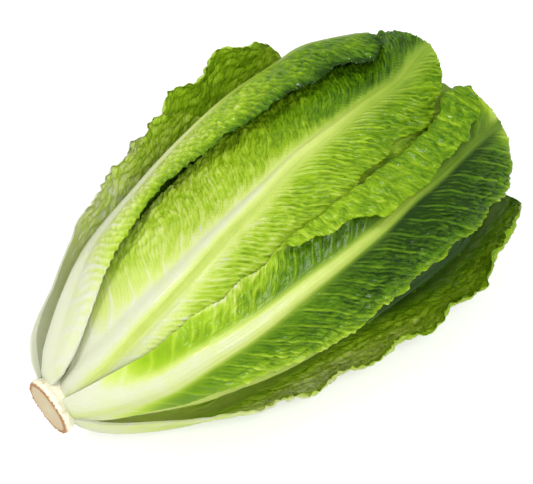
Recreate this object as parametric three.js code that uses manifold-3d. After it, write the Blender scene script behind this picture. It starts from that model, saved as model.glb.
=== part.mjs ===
// A head of romaine lettuce, lying on its side with the cut stem towards -X.
// Millimetres, +Z up. The head rests on the flattened back of its lowest leaf.
//
// Every leaf is one thin closed blade. It is drawn in the head's own terms: the
// distance from the cut, the angle round the head's axis (0 up, 90 towards -Y)
// and the inset from the head's outer surface.

import * as THREE from "three";
import { mergeVertices } from "three/addons/utils/BufferGeometryUtils.js";
import Module from "manifold-3d";

// ---------------------------------------------------------------- dimensions

// Where the centre of the cut stands, and how far the head's axis rises.
const CUT_CENTRE = new THREE.Vector3(-141.7, -12.5, 51.5);
const AXIS_PITCH = 2.5;

// Half-width of the head against the distance from the cut.
const HEAD_HALF_WIDTH = [
  [0, 16], [8, 17.5], [20, 31], [43, 47], [76, 64], [115, 74],
  [150, 79], [190, 82], [225, 80], [250, 71], [275, 58], [295, 46],
];
// Height of the head over its width: it sags under its own weight.
const HEIGHT_RATIO = [[0, 1], [60, 0.92], [140, 0.8], [220, 0.76], [290, 0.8]];

// The underside is pressed up: heights below SAG_TOP are squeezed so that
// SAG_LOW comes to the surface that the head lies on.
const SAG_TOP = 27;
const SAG_LOW = -6;

// Cut stem: radius against the distance from the cut. A shoulder carries the
// lowest leaves, and the others grow from the cone above it.
const STEM_OUTLINE = [
  [0, 0], [0, 15.2], [1, 16], [4.2, 16.6], [4.8, 16.2], [5, 12.3], [9, 12.3], [12, 11.3],
  [15.5, 10.5], [20, 9.8], [26, 9], [30, 8.2], [45, 6.6], [46, 6], [46, 0],
];
const STEM_SIDES = 28;
// The cut is not square: it rises by CUT_SLANT for each millimetre towards
// CUT_SLANT_ANGLE, and the stem is square again at CUT_SLANT_DEPTH.
const CUT_SLANT = 0.19;
const CUT_SLANT_ANGLE = 20;
const CUT_SLANT_DEPTH = 8;

// Thickness of a leaf: the rib at its middle, the rib's half-width, the blade.
const RIB_THICKNESS = [
  [5, 3], [12, 3.7], [20, 4.5], [30, 5.1], [43, 5.4], [76, 4.4], [130, 3.4],
  [190, 2.4], [240, 1.6], [290, 1.1],
];
const RIB_HALF_WIDTH = [[5, 10], [20, 11], [60, 12], [130, 8], [190, 5], [240, 3], [290, 2]];
const BLADE_THICKNESS = [[5, 2.4], [20, 2.4], [45, 2.1], [80, 1.3], [150, 1.1], [290, 1]];
// A rib that the head lies on is pressed flatter.
const PRESSED_RIB = [
  [5, 3], [12, 3.7], [20, 4.5], [43, 4.8], [70, 3.2], [100, 2.4], [190, 2], [240, 1.6],
];
// A leaf is thinner where it leaves the stem.
const ROOT_THINNING = 0.65;
const ROOT_LENGTH = 12;

// Insets and half-widths near the stem, shared by the leaves of a turn.
const OUTER_ROOT = [[8.5, 4.9], [12, 5.5], [20, 6.5], [43, 6.5], [76, 5.5]];
const MIDDLE_ROOT = [[15.5, 14.6], [20, 14.2], [43, 13.8], [76, 14]];
const INNER_ROOT = [[21, 21.3], [26, 21.8], [43, 21.5], [76, 20]];
const NARROW_ROOT = [[8.5, 4.6], [12, 5.8], [20, 9]];
const WIDE_ROOT = [[8.5, 5.8], [12, 7.2], [20, 11.3]];
const MIDDLE_ROOT_WIDTH = [[15.5, 5.6], [20, 8]];
const INNER_ROOT_WIDTH = [[21, 6], [40, 10]];

// Columns across a blade (-1 one margin, 0 the rib, 1 the other) and rows along it.
const FINE_COLUMNS = [-1, -0.82, -0.6, -0.36, -0.15, 0, 0.15, 0.36, 0.6, 0.82, 1];
const PLAIN_COLUMNS = [-1, -0.68, -0.36, -0.14, 0, 0.14, 0.36, 0.68, 1];
const ROLLED_COLUMNS = [
  -1, -0.82, -0.66, -0.6, -0.54, -0.48, -0.42, -0.24, -0.1, 0, 0.1, 0.3, 0.55, 0.8, 1,
];
const FINE_ROWS = 22;
const PLAIN_ROWS = 14;
const ROLLED_ROWS = 28;

// Each leaf, outer turns first. Pairs are [distance from the cut, value]:
//   angle   of the rib round the head, degrees
//   inset   of the blade's inner face from the head's outer surface
//   leftOut, rightOut   outward shifts of the two margins
//   left, right   half-widths of the blade, measured round the head
//   tip     share of the length where the rounded tip begins
//   waves   [left, right amplitude, wavelength, phase] of the margins, outward
//   lobes   [depth, wavelength, phase] of the margins' outline
//   roll    [start from the rib, radius, angle] of the left margin, rolled outward
const LEAVES = [
  {
    name: "leaf_back_left", from: 8.5, to: 234, tip: 0.86, fine: true,
    angle: [[6, -146], [60, -138], [110, -131], [160, -125], [234, -113]],
    inset: [
      [8.5, 4.9], [12, 5.5], [20, 6.5], [43, 5.6], [60, -0.5], [76, -5.5],
      [110, -12], [150, -16], [190, -17], [234, -14],
    ],
    leftOut: [[45, 0], [76, -4], [110, -8], [150, -9], [234, -10]],
    rightOut: [[45, 0], [60, 6.5], [76, 10], [110, 13], [160, 13], [190, 13.5], [234, 10]],
    left: [...NARROW_ROOT, [40, 12], [60, 18], [110, 26], [160, 28], [220, 32]],
    right: [...NARROW_ROOT, [40, 13], [60, 20], [80, 32], [110, 46], [130, 52], [160, 65], [228, 76]],
    waves: [0.5, 4, 34, 2], lobes: [2, 31, 0], colour: 0x4f8a1c,
  },
  {
    name: "leaf_outer_left", from: 8.5, to: 178, tip: 0.78, fine: true,
    angle: [[6, -102], [60, -99], [80, -106], [100, -116], [178, -120]],
    inset: [
      [8.5, 3], [12, -3], [16, -7], [20, -8.5], [30, -8], [43, -6.5], [60, -5],
      [76, -4.5], [100, -6], [140, -9], [178, -12],
    ],
    leftOut: [[40, 0], [100, -4], [178, -5]],
    rightOut: [[40, 0], [60, 4], [100, 10.5], [140, 12], [178, 12]],
    left: [...NARROW_ROOT, [50, 12], [70, 14], [90, 21], [130, 27], [178, 28]],
    right: [...NARROW_ROOT, [35, 16], [60, 31], [75, 38], [90, 44.5], [110, 48], [130, 54], [178, 60]],
    waves: [1, 3, 36, 1], lobes: [2, 31, 0], colour: 0x5d9a22,
  },
  {
    name: "leaf_outer_right", from: 8.5, to: 284, tip: 0.86, fine: true,
    angle: [[6, 115], [60, 126], [110, 138], [160, 142], [240, 134], [284, 124]],
    inset: [...OUTER_ROOT, [110, 4], [150, 2], [200, 0], [240, -2], [284, -3]],
    leftOut: [[40, 0], [80, 2], [110, 5], [284, 5]],
    rightOut: [[40, 0], [76, -2.5], [110, -5], [150, -6], [284, -6]],
    left: [...WIDE_ROOT, [50, 22], [80, 36], [110, 50], [150, 58], [284, 62]],
    right: [...WIDE_ROOT, [60, 18], [110, 34], [160, 44], [284, 48]],
    waves: [2.5, 0.5, 36, 0], lobes: [1.5, 31, 0], colour: 0x4a8718,
  },
  {
    name: "leaf_underneath", from: 8.5, to: 236, tip: 0.8, fine: false, rests: true,
    angle: [[6, 170], [60, 176], [236, 182]],
    inset: [...OUTER_ROOT, [110, -1.6], [150, -2.6], [236, -0.5]],
    leftOut: 0, rightOut: 0,
    left: [...NARROW_ROOT, [40, 12], [60, 18], [110, 36], [160, 45], [236, 45]],
    right: [...NARROW_ROOT, [40, 12], [60, 18], [110, 38], [160, 50], [236, 50]],
    waves: [1, 1, 38, 0], lobes: [2, 31, 0], colour: 0x5d9a22, rib: PRESSED_RIB,
  },
  {
    name: "leaf_front_right", from: 8.5, to: 287, tip: 0.92, fine: true,
    columns: ROLLED_COLUMNS, rows: ROLLED_ROWS,
    angle: [
      [6, 49], [30, 49], [52, 48.5], [75, 44], [111, 40.5], [137, 37.5],
      [164, 35.5], [191, 33.5], [221, 31], [253, 31], [287, 34],
    ],
    inset: [...OUTER_ROOT, [115, 4], [190, 3], [240, 2], [287, 0]],
    leftOut: 0, rightOut: 0,
    left: [
      [8.5, 5.6], [12, 7], [20, 10.5], [45, 16.5], [62, 19.2], [87, 22.5], [112, 24], [132, 25],
      [141, 29.5], [151, 38.5], [177, 42.5], [199, 50], [228, 45.5], [250, 46], [262, 57], [272, 60],
      [287, 55],
    ],
    right: [
      ...WIDE_ROOT, [45, 16.5], [69, 22.5], [90, 28.5], [108, 33], [132, 41.5], [146, 44],
      [160, 43.5], [173, 42], [199, 41], [219, 40], [232, 41.5], [250, 41], [287, 40],
    ],
    waves: [1, 1, 30, 0.5], lobes: [1, 27, 0], colour: 0x6aa82a,
    roll: {
      start: [
        [0, 40], [100, 33], [125, 25.5], [141, 21.5], [153, 22.5], [199, 21], [219, 18.5],
        [240, 19], [255, 21], [268, 27.5], [280, 23.5], [287, 18],
      ],
      radius: 4.5,
      angle: [[0, 165], [270, 165], [287, 145]],
    },
  },
  {
    name: "leaf_front_left", from: 8.5, to: 268, tip: 0.86, fine: true,
    angle: [
      [6, -50], [25, -54], [44, -62], [76, -73], [120, -76], [200, -74], [240, -66], [268, -60],
    ],
    inset: [
      [8.5, 4.9], [12, 5.4], [20, 6], [43, 5.3], [60, 4.6], [100, 3.5], [130, 0.5],
      [160, -2.5], [190, -4.5], [215, -5.5], [240, -9], [268, -10],
    ],
    leftOut: 0, rightOut: 0,
    left: [[8.5, 5.8], [12, 7], [20, 11], [60, 16], [110, 34], [160, 44], [250, 46]],
    right: [
      [8.5, 5.8], [12, 9], [18, 16], [31, 26], [47, 32], [66, 38], [80, 40.5], [98, 38.5],
      [118, 41], [129, 44.5], [139, 47.5], [155, 55], [179, 60], [195, 63], [221, 58],
      [241, 60], [268, 60],
    ],
    waves: [0.5, 1.2, 40, 1.5], lobes: [1, 31, 0], colour: 0x8fbf3e,
  },
  {
    name: "leaf_middle_right", from: 15.5, to: 262, tip: 0.8, fine: false,
    angle: [[12, 74], [40, 74], [76, 76], [268, 76]],
    inset: [...MIDDLE_ROOT, [115, 11], [190, 12], [268, 8]],
    leftOut: [[76, 0], [130, 5], [268, 5]],
    rightOut: [[76, 0], [130, -5], [268, -5]],
    left: [...MIDDLE_ROOT_WIDTH, [60, 14], [110, 36], [160, 48], [250, 48]],
    right: [...MIDDLE_ROOT_WIDTH, [45, 9], [76, 11], [110, 13], [140, 16], [180, 18], [268, 20]],
    waves: [0.5, 2, 33, 0], lobes: [2, 31, 0], colour: 0x8abf33,
  },
  {
    name: "leaf_front_middle", from: 15.5, to: 281, tip: 0.9, fine: true,
    angle: [
      [6, 14], [19, 13], [35, 12], [63, 7], [92, 2], [122, -3], [152, -7],
      [183, -11], [211, -12], [250, -15], [281, -22],
    ],
    inset: [...MIDDLE_ROOT, [115, 11], [190, 8], [230, 4], [250, 0], [265, -7], [281, -14]],
    leftOut: 0,
    rightOut: [[200, 0], [250, -8], [281, -14]],
    left: [
      ...MIDDLE_ROOT_WIDTH, [35, 19], [48, 31], [60, 44], [80, 53],
      [110, 58], [150, 60], [240, 60], [281, 62],
    ],
    right: [
      ...MIDDLE_ROOT_WIDTH, [45, 15], [75, 26], [110, 36], [165, 38], [181, 36], [191, 35],
      [199, 32], [208, 30], [226, 28], [241, 30], [250, 31], [262, 26], [281, 26],
    ],
    waves: [0.5, 1, 34, 0], lobes: [1, 31, 0], colour: 0x93c440,
  },
  {
    name: "leaf_middle_back_right", from: 15.5, to: 232, tip: 0.8, fine: false,
    angle: [[14, 137], [60, 156], [232, 166]],
    inset: [...MIDDLE_ROOT, [85, 15.4], [115, 15.5], [190, 14], [232, 14]],
    leftOut: 0, rightOut: 0,
    left: [...MIDDLE_ROOT_WIDTH, [60, 16], [110, 34], [160, 40], [232, 44]],
    right: [...MIDDLE_ROOT_WIDTH, [60, 17], [110, 36], [160, 46], [232, 48]],
    waves: [0.5, 0.5, 36, 1], lobes: [2, 31, 0], colour: 0x7fb535,
  },
  {
    name: "leaf_middle_back_left", from: 15.5, to: 240, tip: 0.8, fine: false,
    angle: [[14, -154], [60, -145], [240, -138]],
    inset: [...MIDDLE_ROOT.slice(0, 3), [60, 13], [85, 12], [115, 11], [190, 9], [240, 10]],
    leftOut: 0, rightOut: 0,
    left: [...MIDDLE_ROOT_WIDTH, [60, 18], [110, 38], [160, 48], [240, 50]],
    right: [...MIDDLE_ROOT_WIDTH, [60, 17], [110, 38], [160, 48], [240, 50]],
    waves: [0.5, 0.5, 36, 1], lobes: [2, 31, 0], colour: 0x7fb535,
  },
  {
    name: "leaf_middle_left", from: 15.5, to: 246, tip: 0.8, fine: false,
    angle: [[14, -95], [60, -95], [246, -88]],
    inset: [...MIDDLE_ROOT, [85, 15.4], [115, 15.5], [190, 13.5], [246, 11]],
    leftOut: 0, rightOut: 0,
    left: [...MIDDLE_ROOT_WIDTH, [60, 17], [110, 36], [160, 46], [246, 48]],
    right: [...MIDDLE_ROOT_WIDTH, [60, 17], [110, 36], [160, 46], [246, 48]],
    waves: [0.5, 0.5, 36, 1], lobes: [2, 31, 0], colour: 0x8cc03c,
  },
  {
    name: "leaf_inner_front", from: 21, to: 277, tip: 0.8, fine: false,
    angle: [[20, 18], [60, 14], [200, 4], [277, 0]],
    inset: [...INNER_ROOT, [115, 18], [190, 16], [240, 12], [277, 8]],
    leftOut: 0, rightOut: 0,
    left: [...INNER_ROOT_WIDTH, [60, 18], [110, 30], [277, 34]],
    right: [...INNER_ROOT_WIDTH, [60, 18], [110, 30], [277, 34]],
    waves: [0.5, 0.5, 36, 1], lobes: [2, 31, 0], colour: 0xa3cc55,
  },
  {
    name: "leaf_inner_left", from: 21, to: 250, tip: 0.8, fine: false,
    angle: [[20, -72], [250, -68]],
    inset: [...INNER_ROOT, [115, 21.5], [190, 20], [250, 16]],
    leftOut: 0, rightOut: 0,
    left: [...INNER_ROOT_WIDTH, [60, 18], [110, 32], [180, 40]],
    right: [...INNER_ROOT_WIDTH, [60, 18], [110, 32], [180, 38]],
    waves: [0.5, 0.5, 36, 2], lobes: [2, 31, 1], colour: 0xa3cc55,
  },
  {
    name: "leaf_inner_right", from: 21, to: 262, tip: 0.8, fine: false,
    angle: [[20, 108], [262, 98]],
    inset: [...INNER_ROOT, [115, 20.5], [190, 19.5], [262, 18]],
    leftOut: 0, rightOut: 0,
    left: [...INNER_ROOT_WIDTH, [60, 18], [110, 32], [180, 40]],
    right: [...INNER_ROOT_WIDTH, [60, 18], [110, 32], [180, 40]],
    waves: [0.5, 0.5, 36, 3], lobes: [2, 31, 2], colour: 0xa3cc55,
  },
  {
    name: "leaf_inner_back", from: 21, to: 236, tip: 0.8, fine: false,
    angle: [[20, -162], [236, -172]],
    inset: [...INNER_ROOT, [115, 21], [190, 20], [236, 18]],
    leftOut: 0, rightOut: 0,
    left: [...INNER_ROOT_WIDTH, [60, 18], [110, 32], [180, 40]],
    right: [...INNER_ROOT_WIDTH, [60, 18], [110, 32], [180, 40]],
    waves: [0.5, 0.5, 36, 4], lobes: [2, 31, 3], colour: 0xa3cc55,
  },
];

// The heart: small pale leaves on a short core, all one body.
const HEART_CORE_RADII = [40, 16];
const HEART_CORE_MIDDLE = 86.4;
const HEART_COLUMNS = [-1, -0.5, 0, 0.5, 1];
const HEART_ROWS = 10;
const HEART_LEAVES = 5;
// Where the first leaf of the heart starts and ends, and the step to the next.
const HEART_LEAF = {
  from: 60, to: [262, -9], radius: [56, -6], reach: [44, -4], turn: [60, 137.5],
};

// ---------------------------------------------------------------- frame

const PITCH = THREE.MathUtils.degToRad(AXIS_PITCH);
const ALONG = new THREE.Vector3(Math.cos(PITCH), 0, Math.sin(PITCH));
const ACROSS = new THREE.Vector3(0, -1, 0);
const UP = new THREE.Vector3(-Math.sin(PITCH), 0, Math.cos(PITCH));

// A smooth curve through [x, value] points that never overshoots them, held
// level beyond its ends.
function curve(points) {
  if (typeof points === "number") return () => points;
  const last = points.length - 1;
  const step = [];
  const rise = [];
  for (let i = 0; i < last; i += 1) {
    step.push(points[i + 1][0] - points[i][0]);
    rise.push((points[i + 1][1] - points[i][1]) / step[i]);
  }
  const slope = [rise[0]];
  for (let i = 1; i < last; i += 1) {
    const a = 2 * step[i] + step[i - 1];
    const b = step[i] + 2 * step[i - 1];
    slope.push(rise[i - 1] * rise[i] > 0 ? (a + b) / (a / rise[i - 1] + b / rise[i]) : 0);
  }
  slope.push(rise[last - 1]);
  return (x) => {
    if (x <= points[0][0]) return points[0][1];
    if (x >= points[last][0]) return points[last][1];
    let i = 0;
    while (x > points[i + 1][0]) i += 1;
    const t = (x - points[i][0]) / step[i];
    const near = (1 + 2 * t) * (1 - t) ** 2 * points[i][1] + t * (1 - t) ** 2 * step[i] * slope[i];
    const far = t * t * (3 - 2 * t) * points[i + 1][1] - t * t * (1 - t) * step[i] * slope[i + 1];
    return near + far;
  };
}

const headHalfWidth = curve(HEAD_HALF_WIDTH);
const heightRatio = curve(HEIGHT_RATIO);

// The point at a distance from the cut, an angle round the axis and a radius.
function onHead(distance, angle, radius) {
  return CUT_CENTRE.clone()
    .addScaledVector(ALONG, distance)
    .addScaledVector(ACROSS, radius * Math.sin(angle))
    .addScaledVector(UP, radius * heightRatio(distance) * Math.cos(angle));
}

// Squeezes the underside of the head so that it lies on z = 0.
function sag(point) {
  if (point.z < SAG_TOP) {
    const depth = (SAG_TOP - point.z) / (SAG_TOP - SAG_LOW);
    const give = -SAG_LOW / (SAG_TOP - SAG_LOW);
    point.z = SAG_TOP - (SAG_TOP - SAG_LOW) * (depth - give * depth * depth);
  }
  return point;
}

// ---------------------------------------------------------------- leaves

const CURVES = ["angle", "inset", "leftOut", "rightOut", "left", "right", "rib"];

function withCurves(leaf) {
  const made = { rib: RIB_THICKNESS, ...leaf };
  for (const key of CURVES) made[key] = curve(made[key]);
  if (leaf.roll) {
    made.roll = {
      start: curve(leaf.roll.start),
      radius: leaf.roll.radius,
      angle: curve(leaf.roll.angle),
    };
  }
  return made;
}

// Where a point of the blade lies along the head and across the blade. The
// blade is a strip up to its tip, and half an ellipse beyond.
function outline(leaf, u, v) {
  const t = Math.max(0, (u - leaf.tip) / (1 - leaf.tip));
  const along = u <= leaf.tip ? u : leaf.tip + (1 - leaf.tip) * t * Math.sqrt(1 - (v * v) / 2);
  return {
    distance: leaf.from + (leaf.to - leaf.from) * along,
    side: v * Math.sqrt(1 - (t * t) / 2),
  };
}

// Inner face of the blade: a point, its distance from the cut and from the rib.
function innerFace(leaf, u, v) {
  const { distance, side } = outline(leaf, u, v);
  const rightward = side > 0;
  const size = Math.abs(side);
  const [depth, lobeLength, lobePhase] = leaf.lobes;
  const lobe = Math.sin((2 * Math.PI * distance) / lobeLength + lobePhase + (rightward ? 2 : 0));
  const width = rightward ? leaf.right(distance) : leaf.left(distance);
  let reach = size * width + depth * size ** 2 * lobe * THREE.MathUtils.smoothstep(distance, 60, 120);
  const fromRib = reach;

  const [leftWave, rightWave, waveLength, wavePhase] = leaf.waves;
  const wave = Math.sin(
    (2 * Math.PI * distance) / waveLength + wavePhase + 0.8 * Math.sign(side),
  );
  let lift = (rightward ? rightWave : leftWave) * size ** 3 * wave;
  lift *= THREE.MathUtils.smoothstep(distance, 50, 130);
  lift += (rightward ? leaf.rightOut(distance) : leaf.leftOut(distance)) * size;

  if (leaf.roll && !rightward) {
    const beyond = reach - leaf.roll.start(distance);
    if (beyond > 0) {
      const most = THREE.MathUtils.degToRad(leaf.roll.angle(distance));
      const turned = Math.min(beyond / leaf.roll.radius, most);
      const flat = Math.max(0, beyond - leaf.roll.radius * most);
      reach += leaf.roll.radius * Math.sin(turned) + flat * Math.cos(most) - beyond;
      lift += leaf.roll.radius * (1 - Math.cos(turned)) + flat * Math.sin(most);
    }
  }
  const radius = headHalfWidth(distance) - leaf.inset(distance);
  const turn = (Math.sign(side) * reach) / Math.max(radius, 12);
  const angle = THREE.MathUtils.degToRad(leaf.angle(distance)) + turn;
  return { point: onHead(distance, angle, radius + lift), distance, fromRib };
}

const ribHalfWidth = curve(RIB_HALF_WIDTH);
const bladeThickness = curve(BLADE_THICKNESS);

function thickness(leaf, distance, fromRib) {
  const blade = bladeThickness(distance);
  const share = Math.min(1, Math.abs(fromRib) / ribHalfWidth(distance));
  const full = blade + (leaf.rib(distance) - blade) * (1 - share * share) ** 2;
  const grown = THREE.MathUtils.smoothstep(distance, leaf.from, leaf.from + ROOT_LENGTH);
  return full * THREE.MathUtils.lerp(ROOT_THINNING, 1, grown);
}

// A closed blade: both faces share one grid and one way of splitting it.
function leafGeometry(leaf, columns, rows) {
  const width = columns.length;
  const plane = new THREE.PlaneGeometry(1, 1, width - 1, rows);
  const inner = [];
  for (let i = 0; i <= rows; i += 1) {
    for (const v of columns) inner.push(innerFace(leaf, i / rows, v));
  }
  const at = (i, j) => inner[i * width + j].point;
  const outer = inner.map(({ point, distance, fromRib }, k) => {
    const i = Math.floor(k / width);
    const j = k % width;
    const along = at(Math.min(i + 1, rows), j).clone().sub(at(Math.max(i - 1, 0), j));
    const across = at(i, Math.min(j + 1, width - 1)).clone().sub(at(i, Math.max(j - 1, 0)));
    const outward = across.cross(along).normalize();
    return point.clone().addScaledVector(outward, thickness(leaf, distance, fromRib));
  });
  const insides = inner.map(({ point }) => sag(point.clone()));
  outer.forEach(sag);
  if (leaf.rests) {
    for (const point of outer) point.z = Math.max(point.z, 0);
    for (const point of insides) point.z = Math.max(point.z, 1);
  }

  const count = inner.length;
  const faces = [...plane.index.array];
  for (let k = 0; k < plane.index.count; k += 3) {
    const [a, b, c] = plane.index.array.slice(k, k + 3);
    faces.push(a + count, c + count, b + count);
  }
  const rim = [];
  for (let i = 0; i < rows; i += 1) rim.push(i * width);
  for (let j = 0; j < width - 1; j += 1) rim.push(rows * width + j);
  for (let i = rows; i > 0; i -= 1) rim.push(i * width + width - 1);
  for (let j = width - 1; j > 0; j -= 1) rim.push(j);
  rim.forEach((from, k) => {
    const to = rim[(k + 1) % rim.length];
    faces.push(to, from, from + count, to, from + count, to + count);
  });
  return new THREE.BufferGeometry().setFromPoints([...insides, ...outer]).setIndex(faces);
}

// ---------------------------------------------------------------- stem, heart

// Merges a shape's seams and drops the faces that its poles fold to nothing.
function closed(geometry) {
  const bare = new THREE.BufferGeometry();
  bare.setAttribute("position", geometry.getAttribute("position"));
  bare.setIndex(geometry.index);
  const merged = mergeVertices(bare, 1e-3);
  const faces = [];
  for (let k = 0; k < merged.index.count; k += 3) {
    const [a, b, c] = merged.index.array.slice(k, k + 3);
    if (a !== b && b !== c && c !== a) faces.push(a, b, c);
  }
  return merged.setIndex(faces);
}

// Lays a shape turned round +Y along the head's axis, its base at the cut.
function alongHead(geometry) {
  const basis = new THREE.Matrix4().makeBasis(ACROSS, ALONG, UP);
  return geometry.applyMatrix4(basis.setPosition(CUT_CENTRE));
}

// Slants the cut of a stem that is turned round +Y, with +Z towards the top.
function slant(geometry) {
  const position = geometry.getAttribute("position");
  const turn = THREE.MathUtils.degToRad(CUT_SLANT_ANGLE);
  for (let k = 0; k < position.count; k += 1) {
    const towards = position.getX(k) * Math.sin(turn) + position.getZ(k) * Math.cos(turn);
    const share = Math.max(0, 1 - position.getY(k) / CUT_SLANT_DEPTH);
    position.setY(k, position.getY(k) + CUT_SLANT * towards * share);
  }
  return geometry;
}

function stemGeometry() {
  const profile = STEM_OUTLINE.map(([distance, radius]) => new THREE.Vector2(radius, distance));
  return alongHead(slant(closed(new THREE.LatheGeometry(profile, STEM_SIDES))));
}

const wasm = await Module();
wasm.setup();

function solid(geometry) {
  return new wasm.Manifold(
    new wasm.Mesh({
      numProp: 3,
      vertProperties: new Float32Array(geometry.getAttribute("position").array),
      triVerts: new Uint32Array(geometry.index.array),
    }),
  );
}

// One small leaf of the heart, growing from deep in its core.
function heartLeaf(index) {
  const { from, to, radius, reach } = HEART_LEAF;
  const outer = radius[0] + radius[1] * index;
  const breadth = reach[0] + reach[1] * index;
  const end = to[0] + to[1] * index;
  const radii = [
    [from, 5], [84, 11], [100, 12 + 0.2 * outer], [120, 0.6 * outer],
    [150, 0.85 * outer], [190, outer], [end, outer - 14],
  ];
  const widths = [[from, 4], [95, 9], [118, 0.5 * breadth], [170, breadth]];
  return withCurves({
    from, to: end, tip: 0.78, leftOut: 0, rightOut: 0,
    angle: HEART_LEAF.turn[0] + HEART_LEAF.turn[1] * index,
    inset: radii.map(([distance, value]) => [distance, headHalfWidth(distance) - value]),
    left: widths, right: widths, rib: [[60, 2.6], [120, 2], [190, 1.5], [260, 1.1]],
    waves: [1, 1, 30, index], lobes: [1.5, 27, index],
  });
}

function heartGeometry() {
  const core = closed(new THREE.SphereGeometry(1, 14, 8));
  const [length, radius] = HEART_CORE_RADII;
  core.scale(radius, length, radius);
  core.translate(0, HEART_CORE_MIDDLE, 0);
  let body = solid(alongHead(core));
  for (let index = 0; index < HEART_LEAVES; index += 1) {
    body = body.add(solid(leafGeometry(heartLeaf(index), HEART_COLUMNS, HEART_ROWS)));
  }
  const mesh = body.getMesh();
  const geometry = new THREE.BufferGeometry();
  geometry.setAttribute("position", new THREE.BufferAttribute(mesh.vertProperties, 3));
  geometry.setIndex(new THREE.BufferAttribute(mesh.triVerts, 1));
  return geometry;
}

// ---------------------------------------------------------------- the head

function piece(name, geometry, colour, roughness) {
  geometry.computeVertexNormals();
  const material = new THREE.MeshStandardMaterial({ color: colour, roughness, metalness: 0 });
  const mesh = new THREE.Mesh(geometry, material);
  mesh.name = name;
  return mesh;
}

const head = new THREE.Group();
head.name = "romaine_lettuce_head";
head.add(piece("stem", stemGeometry(), 0xe9e2c4, 0.6));
for (const row of LEAVES) {
  const columns = row.columns ?? (row.fine ? FINE_COLUMNS : PLAIN_COLUMNS);
  const rows = row.rows ?? (row.fine ? FINE_ROWS : PLAIN_ROWS);
  const geometry = leafGeometry(withCurves(row), columns, rows);
  head.add(piece(row.name, geometry, row.colour, 0.45));
}
head.add(piece("heart", heartGeometry(), 0xd8e29a, 0.5));

export default head;
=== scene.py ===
"""Looks of a romaine lettuce head that lies on its side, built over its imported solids.

Blender works in metres here. Sizes of the head are written in millimetres, as a
grower would give them, and are turned into metres where a mesh is filled.
"""

from __future__ import annotations

import logging
import math
from dataclasses import dataclass, field, replace
from enum import Enum
from functools import partial, reduce

import bmesh
import bpy
import numpy as np
from mathutils import Matrix, Vector

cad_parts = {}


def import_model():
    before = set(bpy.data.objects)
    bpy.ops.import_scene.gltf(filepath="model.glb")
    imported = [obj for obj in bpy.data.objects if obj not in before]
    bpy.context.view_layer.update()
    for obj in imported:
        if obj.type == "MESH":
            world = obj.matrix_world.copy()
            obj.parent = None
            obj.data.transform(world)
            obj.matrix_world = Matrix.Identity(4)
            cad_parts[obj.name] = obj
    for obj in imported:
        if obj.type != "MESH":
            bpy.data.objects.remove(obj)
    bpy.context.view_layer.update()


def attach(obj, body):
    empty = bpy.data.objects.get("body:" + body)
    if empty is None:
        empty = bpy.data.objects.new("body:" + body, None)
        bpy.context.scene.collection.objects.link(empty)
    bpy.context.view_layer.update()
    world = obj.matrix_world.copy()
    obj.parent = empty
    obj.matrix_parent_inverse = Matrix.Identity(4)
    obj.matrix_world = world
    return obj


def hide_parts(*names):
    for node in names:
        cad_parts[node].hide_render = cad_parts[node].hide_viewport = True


LOG = logging.getLogger("romaine")
MM = 0.001

Points = list[tuple[float, float]]
Array = np.ndarray
Colour = tuple[float, float, float]


# ------------------------------------------------------------------ numbers


class Curve:
    """A smooth curve through points that never overshoots them."""

    def __init__(self, points: Points | float) -> None:
        """Prepare the curve's slopes.

        Args:
            points: Pairs of place and value in rising order, or one level value.
        """
        pairs = [(0.0, points), (1.0, points)] if isinstance(points, (int, float)) else points
        self.x = np.array([pair[0] for pair in pairs], float)
        self.y = np.array([pair[1] for pair in pairs], float)
        step = np.diff(self.x)
        rise = np.diff(self.y) / step
        near = 2 * step[1:] + step[:-1]
        far = step[1:] + 2 * step[:-1]
        same = rise[:-1] * rise[1:] > 0
        before = np.where(same, rise[:-1], 1.0)
        after = np.where(same, rise[1:], 1.0)
        inside = np.where(same, (near + far) / (near / before + far / after), 0.0)
        self.slope = np.concatenate([rise[:1], inside, rise[-1:]])
        self.step = step

    def __call__(self, place: Array | float) -> Array:
        """Read the curve, which stays level beyond its ends.

        Args:
            place: One place or many.

        Returns:
            The value at each place.
        """
        x = np.clip(place, self.x[0], self.x[-1])
        i = np.clip(np.searchsorted(self.x, x, side="right") - 1, 0, len(self.step) - 1)
        t = (x - self.x[i]) / self.step[i]
        near = (1 + 2 * t) * (1 - t) ** 2 * self.y[i]
        near += t * (1 - t) ** 2 * self.step[i] * self.slope[i]
        far = t * t * (3 - 2 * t) * self.y[i + 1]
        far -= t * t * (1 - t) * self.step[i] * self.slope[i + 1]
        return near + far


def smooth(value: Array | float, low: float, high: float) -> Array:
    """Return 0 below low, 1 above high and a soft step between them."""
    t = np.clip((value - low) / (high - low), 0.0, 1.0)
    return t * t * (3 - 2 * t)


# How the noise picks a direction for each corner of its cells, and its strength.
NOISE_TURNS = (127.1, 311.7, 74.7)
NOISE_SCATTER = 43758.5453
NOISE_GAIN = 1.5


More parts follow.
